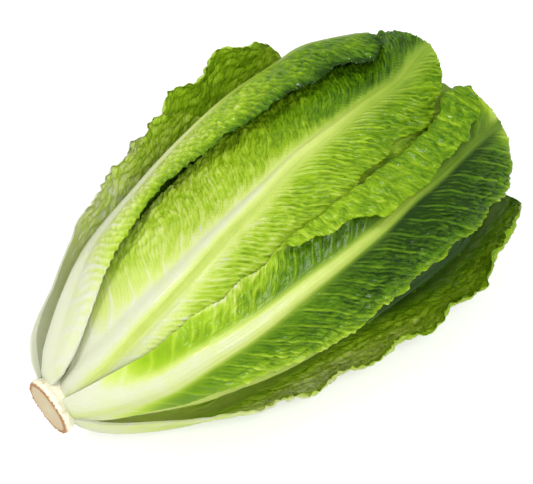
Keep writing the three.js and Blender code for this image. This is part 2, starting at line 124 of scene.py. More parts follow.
def noise(x: Array, y: Array, seed: int) -> Array:
    """Return smooth seeded noise from about -1 to 1.

    Args:
        x: First coordinate, in cells.
        y: Second coordinate, in cells.
        seed: Picks the pattern.

    Returns:
        The noise at each point.
    """
    cell_x, cell_y = np.floor(x), np.floor(y)
    part_x, part_y = x - cell_x, y - cell_y
    fade_x = part_x**3 * (part_x * (6 * part_x - 15) + 10)
    fade_y = part_y**3 * (part_y * (6 * part_y - 15) + 10)
    by_x, by_y, by_seed = NOISE_TURNS

    def corner(dx: int, dy: int) -> Array:
        """Return the share of one corner of the cell.

        Args:
            dx: 0 for the near corners, 1 for the far ones.
            dy: 0 for the low corners, 1 for the high ones.

        Returns:
            The corner's slope times the way to it.
        """
        turn = np.sin((cell_x + dx) * by_x + (cell_y + dy) * by_y + seed * by_seed) * NOISE_SCATTER
        angle = 2 * np.pi * (turn - np.floor(turn))
        return np.cos(angle) * (part_x - dx) + np.sin(angle) * (part_y - dy)

    low = corner(0, 0) + fade_x * (corner(1, 0) - corner(0, 0))
    high = corner(0, 1) + fade_x * (corner(1, 1) - corner(0, 1))
    return NOISE_GAIN * (low + fade_y * (high - low))


@dataclass(frozen=True)
class Grain:
    """A pattern of seeded noise on a leaf.

    Attributes:
        size: Size of its cells along its two coordinates, in millimetres.
        seed: Added to the leaf's seed, so that no two patterns agree.
        shift: Moves the pattern along each coordinate, in cells.
    """

    size: tuple[float, float]
    seed: int
    shift: tuple[float, float] = (0.0, 0.0)

    def at(self, first: Array, second: Array, leaf_seed: int, apart: Array | float = 0) -> Array:
        """Read the pattern.

        Args:
            first: First coordinate, in millimetres.
            second: Second coordinate, in millimetres.
            leaf_seed: The leaf's seed.
            apart: Moves the pattern further along the second coordinate, in cells.

        Returns:
            A value from about -1 to 1 at each point.
        """
        x = first / self.size[0] + self.shift[0]
        y = second / self.size[1] + self.shift[1] + apart
        return noise(x, y, leaf_seed + self.seed)


# Patterns of the leaves: how side veins wander and twist, nicks in the margins,
# patches of weak pleats, crinkles, puffed cells, ruffles, the rib's strands, tone.
WANDER = Grain((21, 26), 11)
TWIST = Grain((8, 9), 12)
NICKS = Grain((6.5, 1), 5)
PATCHES = Grain((9, 12), 15, (9, 0))
CRINKLES = Grain((2.6, 6.5), 31, (0, 30))
PUFFS = Grain((6.5, 6), 21, (40, 0))
LONG_RUFFLES = Grain((15, 50), 41)
SHORT_RUFFLES = Grain((5.5, 40), 51)
FIBRES = Grain((40, 6), 3)
CLOUDS = Grain((16, 22), 61)


# ------------------------------------------------------------------ the head's form


@dataclass(frozen=True)
class HeadForm:
    """The outer shape of the head, which every leaf is measured from.

    Attributes:
        cut_centre: Middle of the cut, in millimetres.
        pitch: How far the axis rises towards the tips, in degrees.
        half_width: Half-width of the head against the distance from the cut.
        height_ratio: The head's height over its width, against that distance.
        sag_top: Height below which the head sags.
        sag_low: Height of its lowest leaf before it sags down to the surface.
    """

    cut_centre: Vector = field(default_factory=lambda: Vector((-141.7, -12.5, 51.5)))
    pitch: float = 2.5
    half_width: Curve = field(
        default_factory=lambda: Curve(
            [(0, 16), (8, 17.5), (20, 31), (43, 47), (76, 64), (115, 74)]
            + [(150, 79), (190, 82), (225, 80), (250, 71), (275, 58), (295, 46)]
        )
    )
    height_ratio: Curve = field(
        default_factory=lambda: Curve([(0, 1), (60, 0.92), (140, 0.8), (220, 0.76), (290, 0.8)])
    )
    sag_top: float = 27.0
    sag_low: float = -6.0

    @property
    def along(self) -> Array:
        """Return the direction of the head's axis, from the cut to the tips."""
        pitch = math.radians(self.pitch)
        return np.array([math.cos(pitch), 0, math.sin(pitch)])

    @property
    def up(self) -> Array:
        """Return the direction square to the axis, towards the top."""
        pitch = math.radians(self.pitch)
        return np.array([-math.sin(pitch), 0, math.cos(pitch)])

    @property
    def across(self) -> Array:
        """Return the direction square to the axis, along the surface."""
        return np.array([0.0, -1.0, 0.0])

    def place(self, distance: Array, angle: Array, radius: Array) -> Array:
        """Find points on the head.

        Args:
            distance: Distance from the cut, along the axis.
            angle: Angle round the axis in radians, 0 at the top.
            radius: Distance from the axis, sideways.

        Returns:
            The points, with the coordinates last.
        """
        height = radius * self.height_ratio(distance)
        return (
            np.array(self.cut_centre)
            + distance[..., None] * self.along
            + (radius * np.sin(angle))[..., None] * self.across
            + (height * np.cos(angle))[..., None] * self.up
        )

    def sag(self, points: Array) -> Array:
        """Press the underside up, as the head lies.

        Args:
            points: Points on the head.

        Returns:
            The same points, pressed up where they lie low.
        """
        drop = self.sag_top - self.sag_low
        depth = (self.sag_top - points[..., 2]) / drop
        give = -self.sag_low / drop
        pressed = self.sag_top - drop * (depth - give * depth**2)
        sunk = points.copy()
        sunk[..., 2] = np.where(depth > 0, pressed, points[..., 2])
        return sunk


HEAD = HeadForm()

# Thickness of a rib against the distance from the cut: the usual one, and that of
# the leaf that the head rests on.
RIB: Points = [
    (5, 4.4), (12, 4.8), (20, 4.9), (30, 5.1), (43, 5.4), (76, 4.4), (130, 3.4),
    (190, 2.4), (240, 1.6), (290, 1.1),
]
PRESSED_RIB: Points = [
    (5, 3), (12, 3.7), (20, 4.5), (43, 4.8), (70, 3.2), (100, 2.4), (190, 2), (240, 1.6),
]


@dataclass(frozen=True)
class Habit:
    """What all the leaves have in common, with lengths in millimetres.

    Attributes:
        rib_half_width: Half-width of a rib against the distance from the cut.
        blade: Thickness of a blade against that distance.
        rib_edge: Shares of the rib's half-width between which the blade begins.
        rib_spread: Added to the second of them.
        margin_share: Share of the blade's thickness that is left at its margin.
        margin_width: Width over which the margin thins and changes its tone.
        margin_band: Shares of the half-width between which the pleats fade.
        root_share: Share of the thickness that is left at the root.
        root_length: Length over which the root thickens.
        lobed: Distances from the cut between which the lobes grow.
        scalloped: The same for the scallops of the margins.
        waved: The same for the waves.
        puffed: The same for puffed cells, side veins and ruffles.
        stranded: The same for the strands of the rib.
        lobe_power: How closely the lobes keep to the margins.
        scallop_power: How closely the scallops do.
        wave_power: How closely the waves do.
        lobe_turn: Phase between the lobes of the two margins.
        wave_turn: Half the phase between their waves.
        vein_drop: How far a side vein first runs down beside the rib.
        vein_turn: Width over which it turns away from the rib.
        vein_width: Half-width of a side vein.
        inner_vein: Share of a side vein's height that sinks the inner face.
        stagger: How far the right side veins stand from the left ones, in spacings.
        wander: How far the side veins wander, in spacings.
        twist: How far they do so over a short way.
        roundness: Power that rounds the pleats' crests.
        left_pleat: Height of the pleats on the left, against those on the right.
        pleat_middle: Part of a pleat's wave that lies level with the blade.
        patch: Mean strength of the pleats, and how much it changes in patches.
        patch_range: Least and most strength of the pleats.
        puff_top: Where the puffed cells are cut off.
        puff_gain: Height of a whole puffed cell, against its relief's number.
        nick: Depth of the nicks in the margins.
        nicks_apart: Keeps the nicks of the two margins different, in cells.
        ruffle_width: Width of the ruffles along the margins.
        short_ruffle: Height of the short ruffles, against the long ones.
        ruffles_apart: Keeps the ruffles of the two margins different, in cells.
        strand_spacing: Distance between the strands of the rib.
        strand_height: Height of the strands.
        least_radius: Least radius that a leaf is wound round.
        pressed: Thickness of the leaf that the head rests on, where it is pressed.
        least_height: Least height of the other leaves over the surface.
    """

    rib_half_width: Curve = field(
        default_factory=lambda: Curve(
            [(5, 10), (20, 11), (60, 12), (130, 8), (190, 5), (240, 3), (290, 2)]
        )
    )
    blade: Curve = field(
        default_factory=lambda: Curve(
            [(5, 3.2), (20, 2.6), (45, 2.1), (80, 1.2), (150, 0.9), (290, 0.8)]
        )
    )
    rib_edge: tuple[float, float] = (0.55, 1.2)
    rib_spread: float = 3
    margin_share: float = 0.55
    margin_width: float = 7
    margin_band: tuple[float, float] = (0.55, 0.95)
    root_share: float = 0.3
    root_length: float = 9
    lobed: tuple[float, float] = (60, 120)
    scalloped: tuple[float, float] = (40, 100)
    waved: tuple[float, float] = (50, 130)
    puffed: tuple[float, float] = (45, 110)
    stranded: tuple[float, float] = (30, 90)
    lobe_power: int = 2
    scallop_power: int = 6
    wave_power: int = 3
    lobe_turn: float = 2
    wave_turn: float = 0.8
    vein_drop: float = 12
    vein_turn: float = 8
    vein_width: float = 1.3
    inner_vein: float = 0.2
    stagger: float = 0.45
    wander: float = 0.22
    twist: float = 0.05
    roundness: float = 0.85
    left_pleat: float = 0.6
    pleat_middle: float = 0.6
    patch: tuple[float, float] = (0.8, 0.6)
    patch_range: tuple[float, float] = (0.25, 1.3)
    puff_top: float = 0.6
    puff_gain: float = 2.2
    nick: float = 0.9
    nicks_apart: float = 3.3
    ruffle_width: float = 6
    short_ruffle: float = 0.6
    ruffles_apart: float = 7
    strand_spacing: float = 2.4
    strand_height: float = 0.12
    least_radius: float = 12
    pressed: float = 0.9
    least_height: float = 0.6


@dataclass(frozen=True)
class Shades:
    """How every leaf's tone follows its form, with lengths in millimetres.

    Attributes:
        crest: What a pleat adds from its valley to its crest: partly paler tissue, partly painted
            light and shade.
        crest_middle: Part of a pleat's wave that changes nothing.
        puff: What a puffed cell adds: painted light on the puffs, painted shade in the creases
            between them.
        crinkle: What a crinkle adds: painted light where it rises, painted shade where it sinks.
        crinkled: Distances from the cut between which crinkles begin to add it.
        cloud: What broad, soft clouds add.
        vein_width: Half-width of the paler side veins.
        inside: Distances from the cut between which the inner face's tone begins.
        edged: The same for the tone of the margins.
        rolled: The same for the tone of a rolled margin.
        roll_width: Width over which a rolled margin takes its own tone.
        rib_core: Share of the rib's half-width that keeps the rib's tone whole.
        rib_power: How sharply the rib's tone ends.
        flank_place: Distance from the rib to its darker right flank, partly yellower tissue,
            partly painted shade.
        flank_width: Half-width of that flank.
        faces_apart: Sets the outer face's pattern apart from the inner one's.
    """

    crest: float = 0.16
    crest_middle: float = 0.55
    puff: float = 0.22
    crinkle: float = 0.13
    crinkled: tuple[float, float] = (40, 120)
    cloud: float = 0.05
    vein_width: float = 1.1
    inside: tuple[float, float] = (50, 120)
    edged: tuple[float, float] = (50, 110)
    rolled: tuple[float, float] = (110, 145)
    roll_width: float = 6
    rib_core: float = 0.4
    rib_power: float = 1.5
    flank_place: float = 3.5
    flank_width: float = 2.8
    faces_apart: float = 400


HABIT = Habit()
SHADES = Shades()

# Starts of the leaves' tables of inset from the head's outline and of half-width.
OUTER_ROOT: Points = [(4, 4.4), (8.5, 4.9), (12, 5.5), (20, 6.5), (43, 6.5), (76, 5.5)]
MIDDLE_ROOT: Points = [(5, 5.8), (15.5, 14.6), (20, 14.2), (43, 13.8), (76, 14)]
INNER_ROOT: Points = [(21, 21.3), (26, 21.8), (43, 21.5), (76, 20)]
NARROW_ROOT: Points = [(4, 4.4), (8.5, 4.8), (12, 5.8), (20, 9)]
WIDE_ROOT: Points = [(4, 6.2), (8.5, 6.8), (12, 8), (20, 11.8)]
MIDDLE_ROOT_WIDTH: Points = [(5, 5.6), (15.5, 6.4), (20, 8)]
INNER_ROOT_WIDTH: Points = [(21, 6), (40, 10)]


@dataclass(frozen=True)
class Roll:
    """A margin rolled outwards.

    Attributes:
        start: Distance from the rib where it starts, against that from the cut.
        radius: Radius of the roll.
        angle: How far it turns, in degrees.
    """

    start: Curve
    radius: float
    angle: Curve

    def wind(self, distance: Array, beyond: Array) -> tuple[Array, Array]:
        """Wind the margin round the roll.

        Args:
            distance: Distance from the cut.
            beyond: How far each point lies beyond the roll's start.

        Returns:
            How far each point then reaches past the start, and how far it lifts.
        """
        most = np.radians(self.angle(distance))
        turned = np.minimum(beyond / self.radius, most)
        flat = np.maximum(0, beyond - self.radius * most)
        reach = self.radius * np.sin(turned) + flat * np.cos(most)
        return reach, self.radius * (1 - np.cos(turned)) + flat * np.sin(most)


@dataclass(frozen=True)
class Relief:
    """What stands out of a blade, with heights and lengths in millimetres.

    Attributes:
        pleat: Height of the pleats.
        margin_pleat: Share of that height left at the margins.
        calm: Smooth width beside the rib, without pleats.
        pleated: Distances from the cut between which the pleats begin.
        crinkle: Height of the fine crinkles along the side veins.
        vein: Height of the side veins.
        blister: Height of the puffed cells between veins.
        puffed: Shares of the half-width between which the puffed cells begin.
        ruffle: Height of the ruffles along the margins.
        scallop: Depth of the scallops that the pleats leave in the margins.
        spacing: Distance between side veins along the rib.
        pleats: Pleats for each side vein, on the left and on the right.
        slant: How far the side veins lean to the tip on the left and on the right.
    """

    pleat: float = 0.35
    margin_pleat: float = 0.35
    calm: float = 0.0
    pleated: tuple[float, float] = (30, 100)
    crinkle: float = 0.5
    vein: float = 0.45
    blister: float = 1.2
    puffed: tuple[float, float] = (0.2, 0.7)
    ruffle: float = 1.3
    scallop: float = 0.4
    spacing: float = 12.0
    pleats: tuple[int, int] = (5, 4)
    slant: tuple[float, float] = (0.6, 0.6)


@dataclass(frozen=True)
class Tones:
    """How pale the tissue is along a leaf: 0 deep green, 1 white.

    Attributes:
        blade: Tone of the blade along the leaf.
        rib: Tone of the rib along the leaf.
        feather: Width over which the rib's tone gives way to the blade's.
        edge: What is added at the margins.
        left: What is added on the left of the rib.
        flank: What is taken off on the right flank of the rib, partly yellower tissue and partly
            painted shade.
        rolled: Tone of the rolled margin.
        inner: What is added on the inner face.
        vein: What is added on the side veins.
    """

    blade: Points
    rib: Points
    feather: Points | float = 9.0
    edge: float = 0.1
    left: Points | float = 0.0
    flank: Points | float = 0.0
    rolled: Points | float = 0.56
    inner: float = -0.06
    vein: float = 0.03


@dataclass(frozen=True)
class LeafForm:
    """One leaf, in the head's own terms. Pairs are distance from the cut and value.

    Attributes:
        name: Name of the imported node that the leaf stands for.
        start: Distance from the cut to its root.
        end: Distance from the cut to its tip.
        tip: Share of its length where the tip begins to round off.
        angle: Where its rib lies round the head's axis, in degrees.
        inset: How far it lies inside the head's outline.
        left: Half-width on the left of the rib.
        right: Half-width on the right of the rib.
        tones: How pale it is.
        left_out: How far the left margin stands out.
        right_out: How far the right margin stands out.
        waves: Heights at the left and right margins, length and phase of its waves.
        lobes: Depth, length and phase of its lobes.
        roll: How its left margin rolls outwards, if it does.
        rib: Thickness of its rib.
        rib_breadth: Breadth of its rib, against the usual one.
        rests: Whether the head rests on it.
        relief: What stands out of its blade.
        columns: Number of cells across its mesh.
        rows: Number of cells along its mesh.
        seed: Picks its patterns.
    """

    name: str
    start: float
    end: float
    tip: float
    angle: Points
    inset: Points
    left: Points
    right: Points
    tones: Tones
    left_out: Points | float = 0.0
    right_out: Points | float = 0.0
    waves: tuple[float, float, float, float] = (0.5, 0.5, 36, 1)
    lobes: tuple[float, float, float] = (2, 31, 0)
    roll: Roll | None = None
    rib: Points = field(default_factory=lambda: RIB)
    rib_breadth: float = 1.0
    rests: bool = False
    relief: Relief = Relief()
    columns: int = 44
    rows: int = 96
    seed: int = 1

    def outline(self, u: Array, v: Array) -> tuple[Array, Array]:
        """Round the grid off at the tip.

        Args:
            u: Share of the leaf's length, 0 at the root.
            v: Place across the blade, -1 to 1.

        Returns:
            Each point's distance from the cut and its share of the half-width.
        """
        t = np.clip((u - self.tip) / (1 - self.tip), 0, None)
        beyond = self.tip + (1 - self.tip) * t * np.sqrt(1 - v * v / 2)
        along = np.where(u <= self.tip, u, beyond)
        return self.start + (self.end - self.start) * along, v * np.sqrt(1 - t * t / 2)

    def vein_phase(self, from_rib: Array, distance: Array) -> Array:
        """Count the side veins between the root and each point.

        Args:
            from_rib: Signed distance from the rib.
            distance: Distance from the cut.

        Returns:
            The count, a whole number on each side vein.
        """
        away = np.abs(from_rib)
        left, right = self.relief.slant
        lean = np.where(from_rib > 0, right, left) * away
        sweep = HABIT.vein_drop * (1 - np.exp(-away / HABIT.vein_turn)) + lean
        wander = HABIT.wander * WANDER.at(from_rib, distance, self.seed)
        twist = HABIT.twist * TWIST.at(from_rib, distance, self.seed)
        stagger = np.where(from_rib > 0, HABIT.stagger, 0.0)
        return (distance - sweep) / self.relief.spacing + wander + twist + stagger

    def pleat_ridge(self, from_rib: Array, phase: Array) -> Array:
        """Find the pleats' crests.

        Args:
            from_rib: Signed distance from the rib.
            phase: Count of side veins up to each point.

        Returns:
            1 on each crest and 0 in the valleys between them.
        """
        left, right = self.relief.pleats
        wave = np.cos(np.pi * np.where(from_rib > 0, right, left) * phase)
        return np.abs(wave) ** HABIT.roundness

    def reach(self, distance: Array, side: Array) -> Array:
        """Measure the blade out from the rib, with its lobes, scallops and nicks.

        Args:
            distance: Distance from the cut.
            side: Signed share of the half-width.

        Returns:
            Each point's distance from the rib.
        """
        size, sign = np.abs(side), np.sign(side)
        depth, length, phase = self.lobes
        phase = phase + np.where(side > 0, HABIT.lobe_turn, 0)
        lobe = np.sin(2 * np.pi * distance / length + phase)
        width = np.where(side > 0, Curve(self.right)(distance), Curve(self.left)(distance))
        lobe = lobe * size**HABIT.lobe_power * smooth(distance, *HABIT.lobed)
        reach = size * width + depth * lobe
        nick = NICKS.at(distance, 0 * distance, self.seed, HABIT.nicks_apart * sign)
        ridge = self.pleat_ridge(sign * reach, self.vein_phase(sign * reach, distance))
        scallop = HABIT.nick * nick + self.relief.scallop * (2 * ridge - 1)
        return reach + scallop * size**HABIT.scallop_power * smooth(distance, *HABIT.scalloped)

    def lift(self, distance: Array, side: Array) -> Array:
        """Raise the blade in waves, and where its margins stand out.

        Args:
            distance: Distance from the cut.
            side: Signed share of the half-width.

        Returns:
            Each point's height over the head's outline.
        """
        size = np.abs(side)
        left_wave, right_wave, length, phase = self.waves
        wave = np.sin(2 * np.pi * distance / length + phase + HABIT.wave_turn * np.sign(side))
        lift = np.where(side > 0, right_wave, left_wave) * size**HABIT.wave_power * wave
        lift = lift * smooth(distance, *HABIT.waved)
        left_out, right_out = Curve(self.left_out)(distance), Curve(self.right_out)(distance)
        return lift + np.where(side > 0, right_out, left_out) * size

    def inner_face(self, u: Array, v: Array) -> tuple[Array, Array, Array]:
        """Lay the inner face on the head.

        Args:
            u: Share of the leaf's length, 0 at the root.
            v: Place across the blade, -1 to 1.

        Returns:
            Its points, their distances from the cut and those from the rib.
        """
        distance, side = self.outline(u, v)
        reach, lift = self.reach(distance, side), self.lift(distance, side)
        from_rib = np.sign(side) * reach
        if self.roll:
            past = np.maximum(reach - self.roll.start(distance), 0)
            beyond = np.where(side > 0, 0, past)
            wound, raised = self.roll.wind(distance, beyond)
            reach, lift = reach + wound - beyond, lift + raised
        radius = HEAD.half_width(distance) - Curve(self.inset)(distance)
        angle = np.radians(Curve(self.angle)(distance))
        angle = angle + np.sign(side) * reach / np.maximum(radius, HABIT.least_radius)
        return HEAD.place(distance, angle, radius + lift), distance, from_rib

    def thickness(self, distance: Array, from_rib: Array, edge: Array) -> Array:
        """Measure the leaf through, from its rib to its thin margin.

        Args:
            distance: Distance from the cut.
            from_rib: Signed distance from the rib.
            edge: Distance from the margin.

        Returns:
            The thickness at each point.
        """
        full_blade = smooth(edge, 0, HABIT.margin_width)
        blade = HABIT.blade(distance)
        blade = blade * (HABIT.margin_share + (1 - HABIT.margin_share) * full_blade)
        half_rib = self.rib_breadth * HABIT.rib_half_width(distance)
        share = np.minimum(1, np.abs(from_rib) / half_rib)
        full = blade + (Curve(self.rib)(distance) - blade) * (1 - share**2) ** 2
        root = smooth(distance - self.start, 0, HABIT.root_length)
        return full * (HABIT.root_share + (1 - HABIT.root_share) * root)


class LeafSurface:
    """Both faces of a leaf on a grid, with its relief and its tones."""

    def __init__(self, form: LeafForm, columns: int, rows: int) -> None:
        """Lay a grid over the leaf.

        Args:
            form: The leaf.
            columns: Number of cells across the blade.
            rows: Number of cells along it.
        """
        self.form = form
        u = np.linspace(0, 1, rows + 1)[:, None] + np.zeros((1, columns + 1))
        v = np.linspace(-1, 1, columns + 1)[None, :] + np.zeros((rows + 1, 1))
        self.base, self.distance, self.from_rib = form.inner_face(u, v)
        self.sign = np.sign(v)
        self.away = np.abs(self.from_rib)
        margin = np.where(v > 0, self.away[:, -1:], self.away[:, :1])
        self.edge = np.minimum(margin - self.away, (1 - u) * (form.end - form.start))
        self.outness = self.away / np.maximum(margin, 1)
        half_rib = HABIT.rib_half_width(self.distance)
        within, beyond = HABIT.rib_edge
        past = self.away - form.relief.calm
        self.clear = smooth(past, within * half_rib, beyond * half_rib + HABIT.rib_spread)
        self.grown = smooth(self.distance, *HABIT.puffed)
        self.phase = form.vein_phase(self.from_rib, self.distance)
        self.ridge = form.pleat_ridge(self.from_rib, self.phase)
        self.from_vein = np.abs(self.phase - np.round(self.phase)) * form.relief.spacing
        self.fading = 1 - (1 - form.relief.margin_pleat) * smooth(self.outness, *HABIT.margin_band)
        self.strength = self.pleat_strength()
        self.crinkle = self.crinkles()
        self.puff = self.puffs()

    def pleat_strength(self) -> Array:
        """Weigh the pleats, which are patchy, and weak by rib, root and margin.

        Returns:
            Their strength at each point.
        """
        relief = self.form.relief
        patches = PATCHES.at(self.from_rib, self.distance, self.form.seed)
        level, depth = HABIT.patch
        uneven = np.clip(level + depth * patches, *HABIT.patch_range)
        return self.clear * self.fading * uneven * smooth(self.distance, *relief.pleated)

    def crinkles(self) -> Array:
        """Return fine crinkles along the side veins, from about -1 to 1."""
        by_vein = self.phase * self.form.relief.spacing
        return CRINKLES.at(by_vein, self.away, self.form.seed)

    def puffs(self) -> Array:
        """Puff up the cells between the veins.

        Returns:
            Their height at each point, about zero, in no unit.
        """
        by_vein = self.phase * self.form.relief.spacing
        cells = np.abs(PUFFS.at(self.away, by_vein, self.form.seed))
        puffed = smooth(self.outness, *self.form.relief.puffed) * self.grown
        return (np.minimum(cells, HABIT.puff_top) - HABIT.puff_top / 2) * puffed

    def veins(self) -> Array:
        """Return the height of the side veins."""
        height = self.form.relief.vein * np.exp(-((self.from_vein / HABIT.vein_width) ** 2))
        return height * self.clear * self.fading * self.grown

    def ruffles(self) -> Array:
        """Ruffle the margins.

        Returns:
            The height of the ruffles at each point.
        """
        apart = HABIT.ruffles_apart * self.sign
        long_wave = LONG_RUFFLES.at(self.distance, self.from_rib, self.form.seed, apart)
        short_wave = SHORT_RUFFLES.at(self.distance, self.from_rib, self.form.seed, apart)
        near_edge = np.exp(-np.maximum(self.edge, 0) / HABIT.ruffle_width)
        wave = long_wave + HABIT.short_ruffle * short_wave
        return self.form.relief.ruffle * wave * near_edge * self.grown

    def strands(self) -> Array:
        """Draw the strands of the rib.

        Returns:
            Their height at each point.
        """
        wander = FIBRES.at(self.distance, self.from_rib, 0)
        wave = np.cos(2 * np.pi * self.from_rib / HABIT.strand_spacing + wander)
        height = HABIT.strand_height * smooth(self.distance, *HABIT.stranded)
        return height * wave * (1 - self.clear)

    def faces(self) -> tuple[Array, Array]:
        """Work out the inner and the outer face.

        Returns:
            The points of both faces, with the coordinates last.
        """
        relief = self.form.relief
        outward = np.cross(np.gradient(self.base, axis=1), np.gradient(self.base, axis=0))
        outward /= np.linalg.norm(outward, axis=-1, keepdims=True)
        height = np.where(self.from_rib > 0, relief.pleat, HABIT.left_pleat * relief.pleat)
        pleat = height * 2 * (self.ridge - HABIT.pleat_middle) * self.strength
        blister = relief.blister * HABIT.puff_gain * self.puff
        blister = blister + relief.crinkle * self.crinkle * self.clear * self.grown
        bend = pleat + blister + self.ruffles()
        thick = self.form.thickness(self.distance, self.from_rib, self.edge)
        vein = self.veins()
        raised = bend + thick + vein + self.strands()
        inner = HEAD.sag(self.base + outward * (bend - HABIT.inner_vein * vein)[..., None])
        outer = HEAD.sag(self.base + outward * raised[..., None])
        if self.form.rests:
            inner[..., 2] = np.maximum(inner[..., 2], HABIT.pressed)
            outer[..., 2] = np.maximum(outer[..., 2], 0.0)
        else:
            outer[..., 2] = np.maximum(outer[..., 2], HABIT.least_height)
        return inner, outer

    def tone(self) -> Array:
        """Work out how pale the tissue is, with what its relief adds.

        Returns:
            The tone at each point, 0 deep green and 1 white, with painted light and shade from the
            relief.
        """
        tones, distance = self.form.tones, self.distance
        tone = self.paleness()
        # Pleats: the paler crests are partly paler tissue and partly painted light, the darker
        # valleys painted shade.
        tone = tone + SHADES.crest * (self.ridge - SHADES.crest_middle) * self.strength
        # Puffed cells: painted light on the puffs and painted shade in the creases between them.
        tone = tone + SHADES.puff * self.puff
        # Crinkles: painted light where they rise and painted shade where they sink.
        crinkled = self.crinkle * self.clear * self.grown
        tone = tone + SHADES.crinkle * crinkled * smooth(distance, *SHADES.crinkled)
        vein = np.exp(-((self.from_vein / SHADES.vein_width) ** 2))
        tone = tone + tones.vein * vein * self.clear * self.fading
        # The rib's darker right flank: partly yellower tissue, partly painted shade of the flank
        # turned from the light.
        beside = np.exp(-(((self.from_rib - SHADES.flank_place) / SHADES.flank_width) ** 2))
        return tone - Curve(tones.flank)(distance) * beside

    def marks(self) -> dict[str, tuple[Array, Array]]:
        """List what the finish reads.

        Returns:
            Each mark's name, with its values on the inner and on the outer face.
        """
        tone = self.tone()
        inside = tone + self.form.tones.inner * smooth(self.distance, *SHADES.inside)
        return {
            "pale": (inside, tone),
            "phase": (self.phase, self.phase),
            "away": (self.away, self.away),
            "edge": (self.edge, self.edge),
            "across": (self.from_rib, self.from_rib + SHADES.faces_apart),
            "along": (self.distance, self.distance),
        }

    def paleness(self) -> Array:
        """Blend the tones of blade, rib, margins and roll.

        Returns:
            The tone at each point, before its relief changes it.
        """
        tones, distance, from_rib = self.form.tones, self.distance, self.from_rib
        blade = Curve(tones.blade)(distance)
        blade = blade + np.where(from_rib < 0, Curve(tones.left)(distance), 0.0)
        blade = blade + SHADES.cloud * CLOUDS.at(from_rib, distance, self.form.seed)
        by_margin = np.exp(-np.maximum(self.edge, 0) / HABIT.margin_width)
        blade = blade + tones.edge * by_margin * smooth(distance, *SHADES.edged)
        if self.form.roll:
            rolled = smooth(-from_rib - self.form.roll.start(distance), 0, SHADES.roll_width)
            rolled = rolled * smooth(distance, *SHADES.rolled)
            blade = blade + (Curve(tones.rolled)(distance) - blade) * rolled
        core = SHADES.rib_core * HABIT.rib_half_width(distance)
        beyond = np.maximum(0, self.away - core) / Curve(tones.feather)(distance)
        return blade + (Curve(tones.rib)(distance) - blade) * np.exp(-(beyond**SHADES.rib_power))


# ------------------------------------------------------------------ finishes


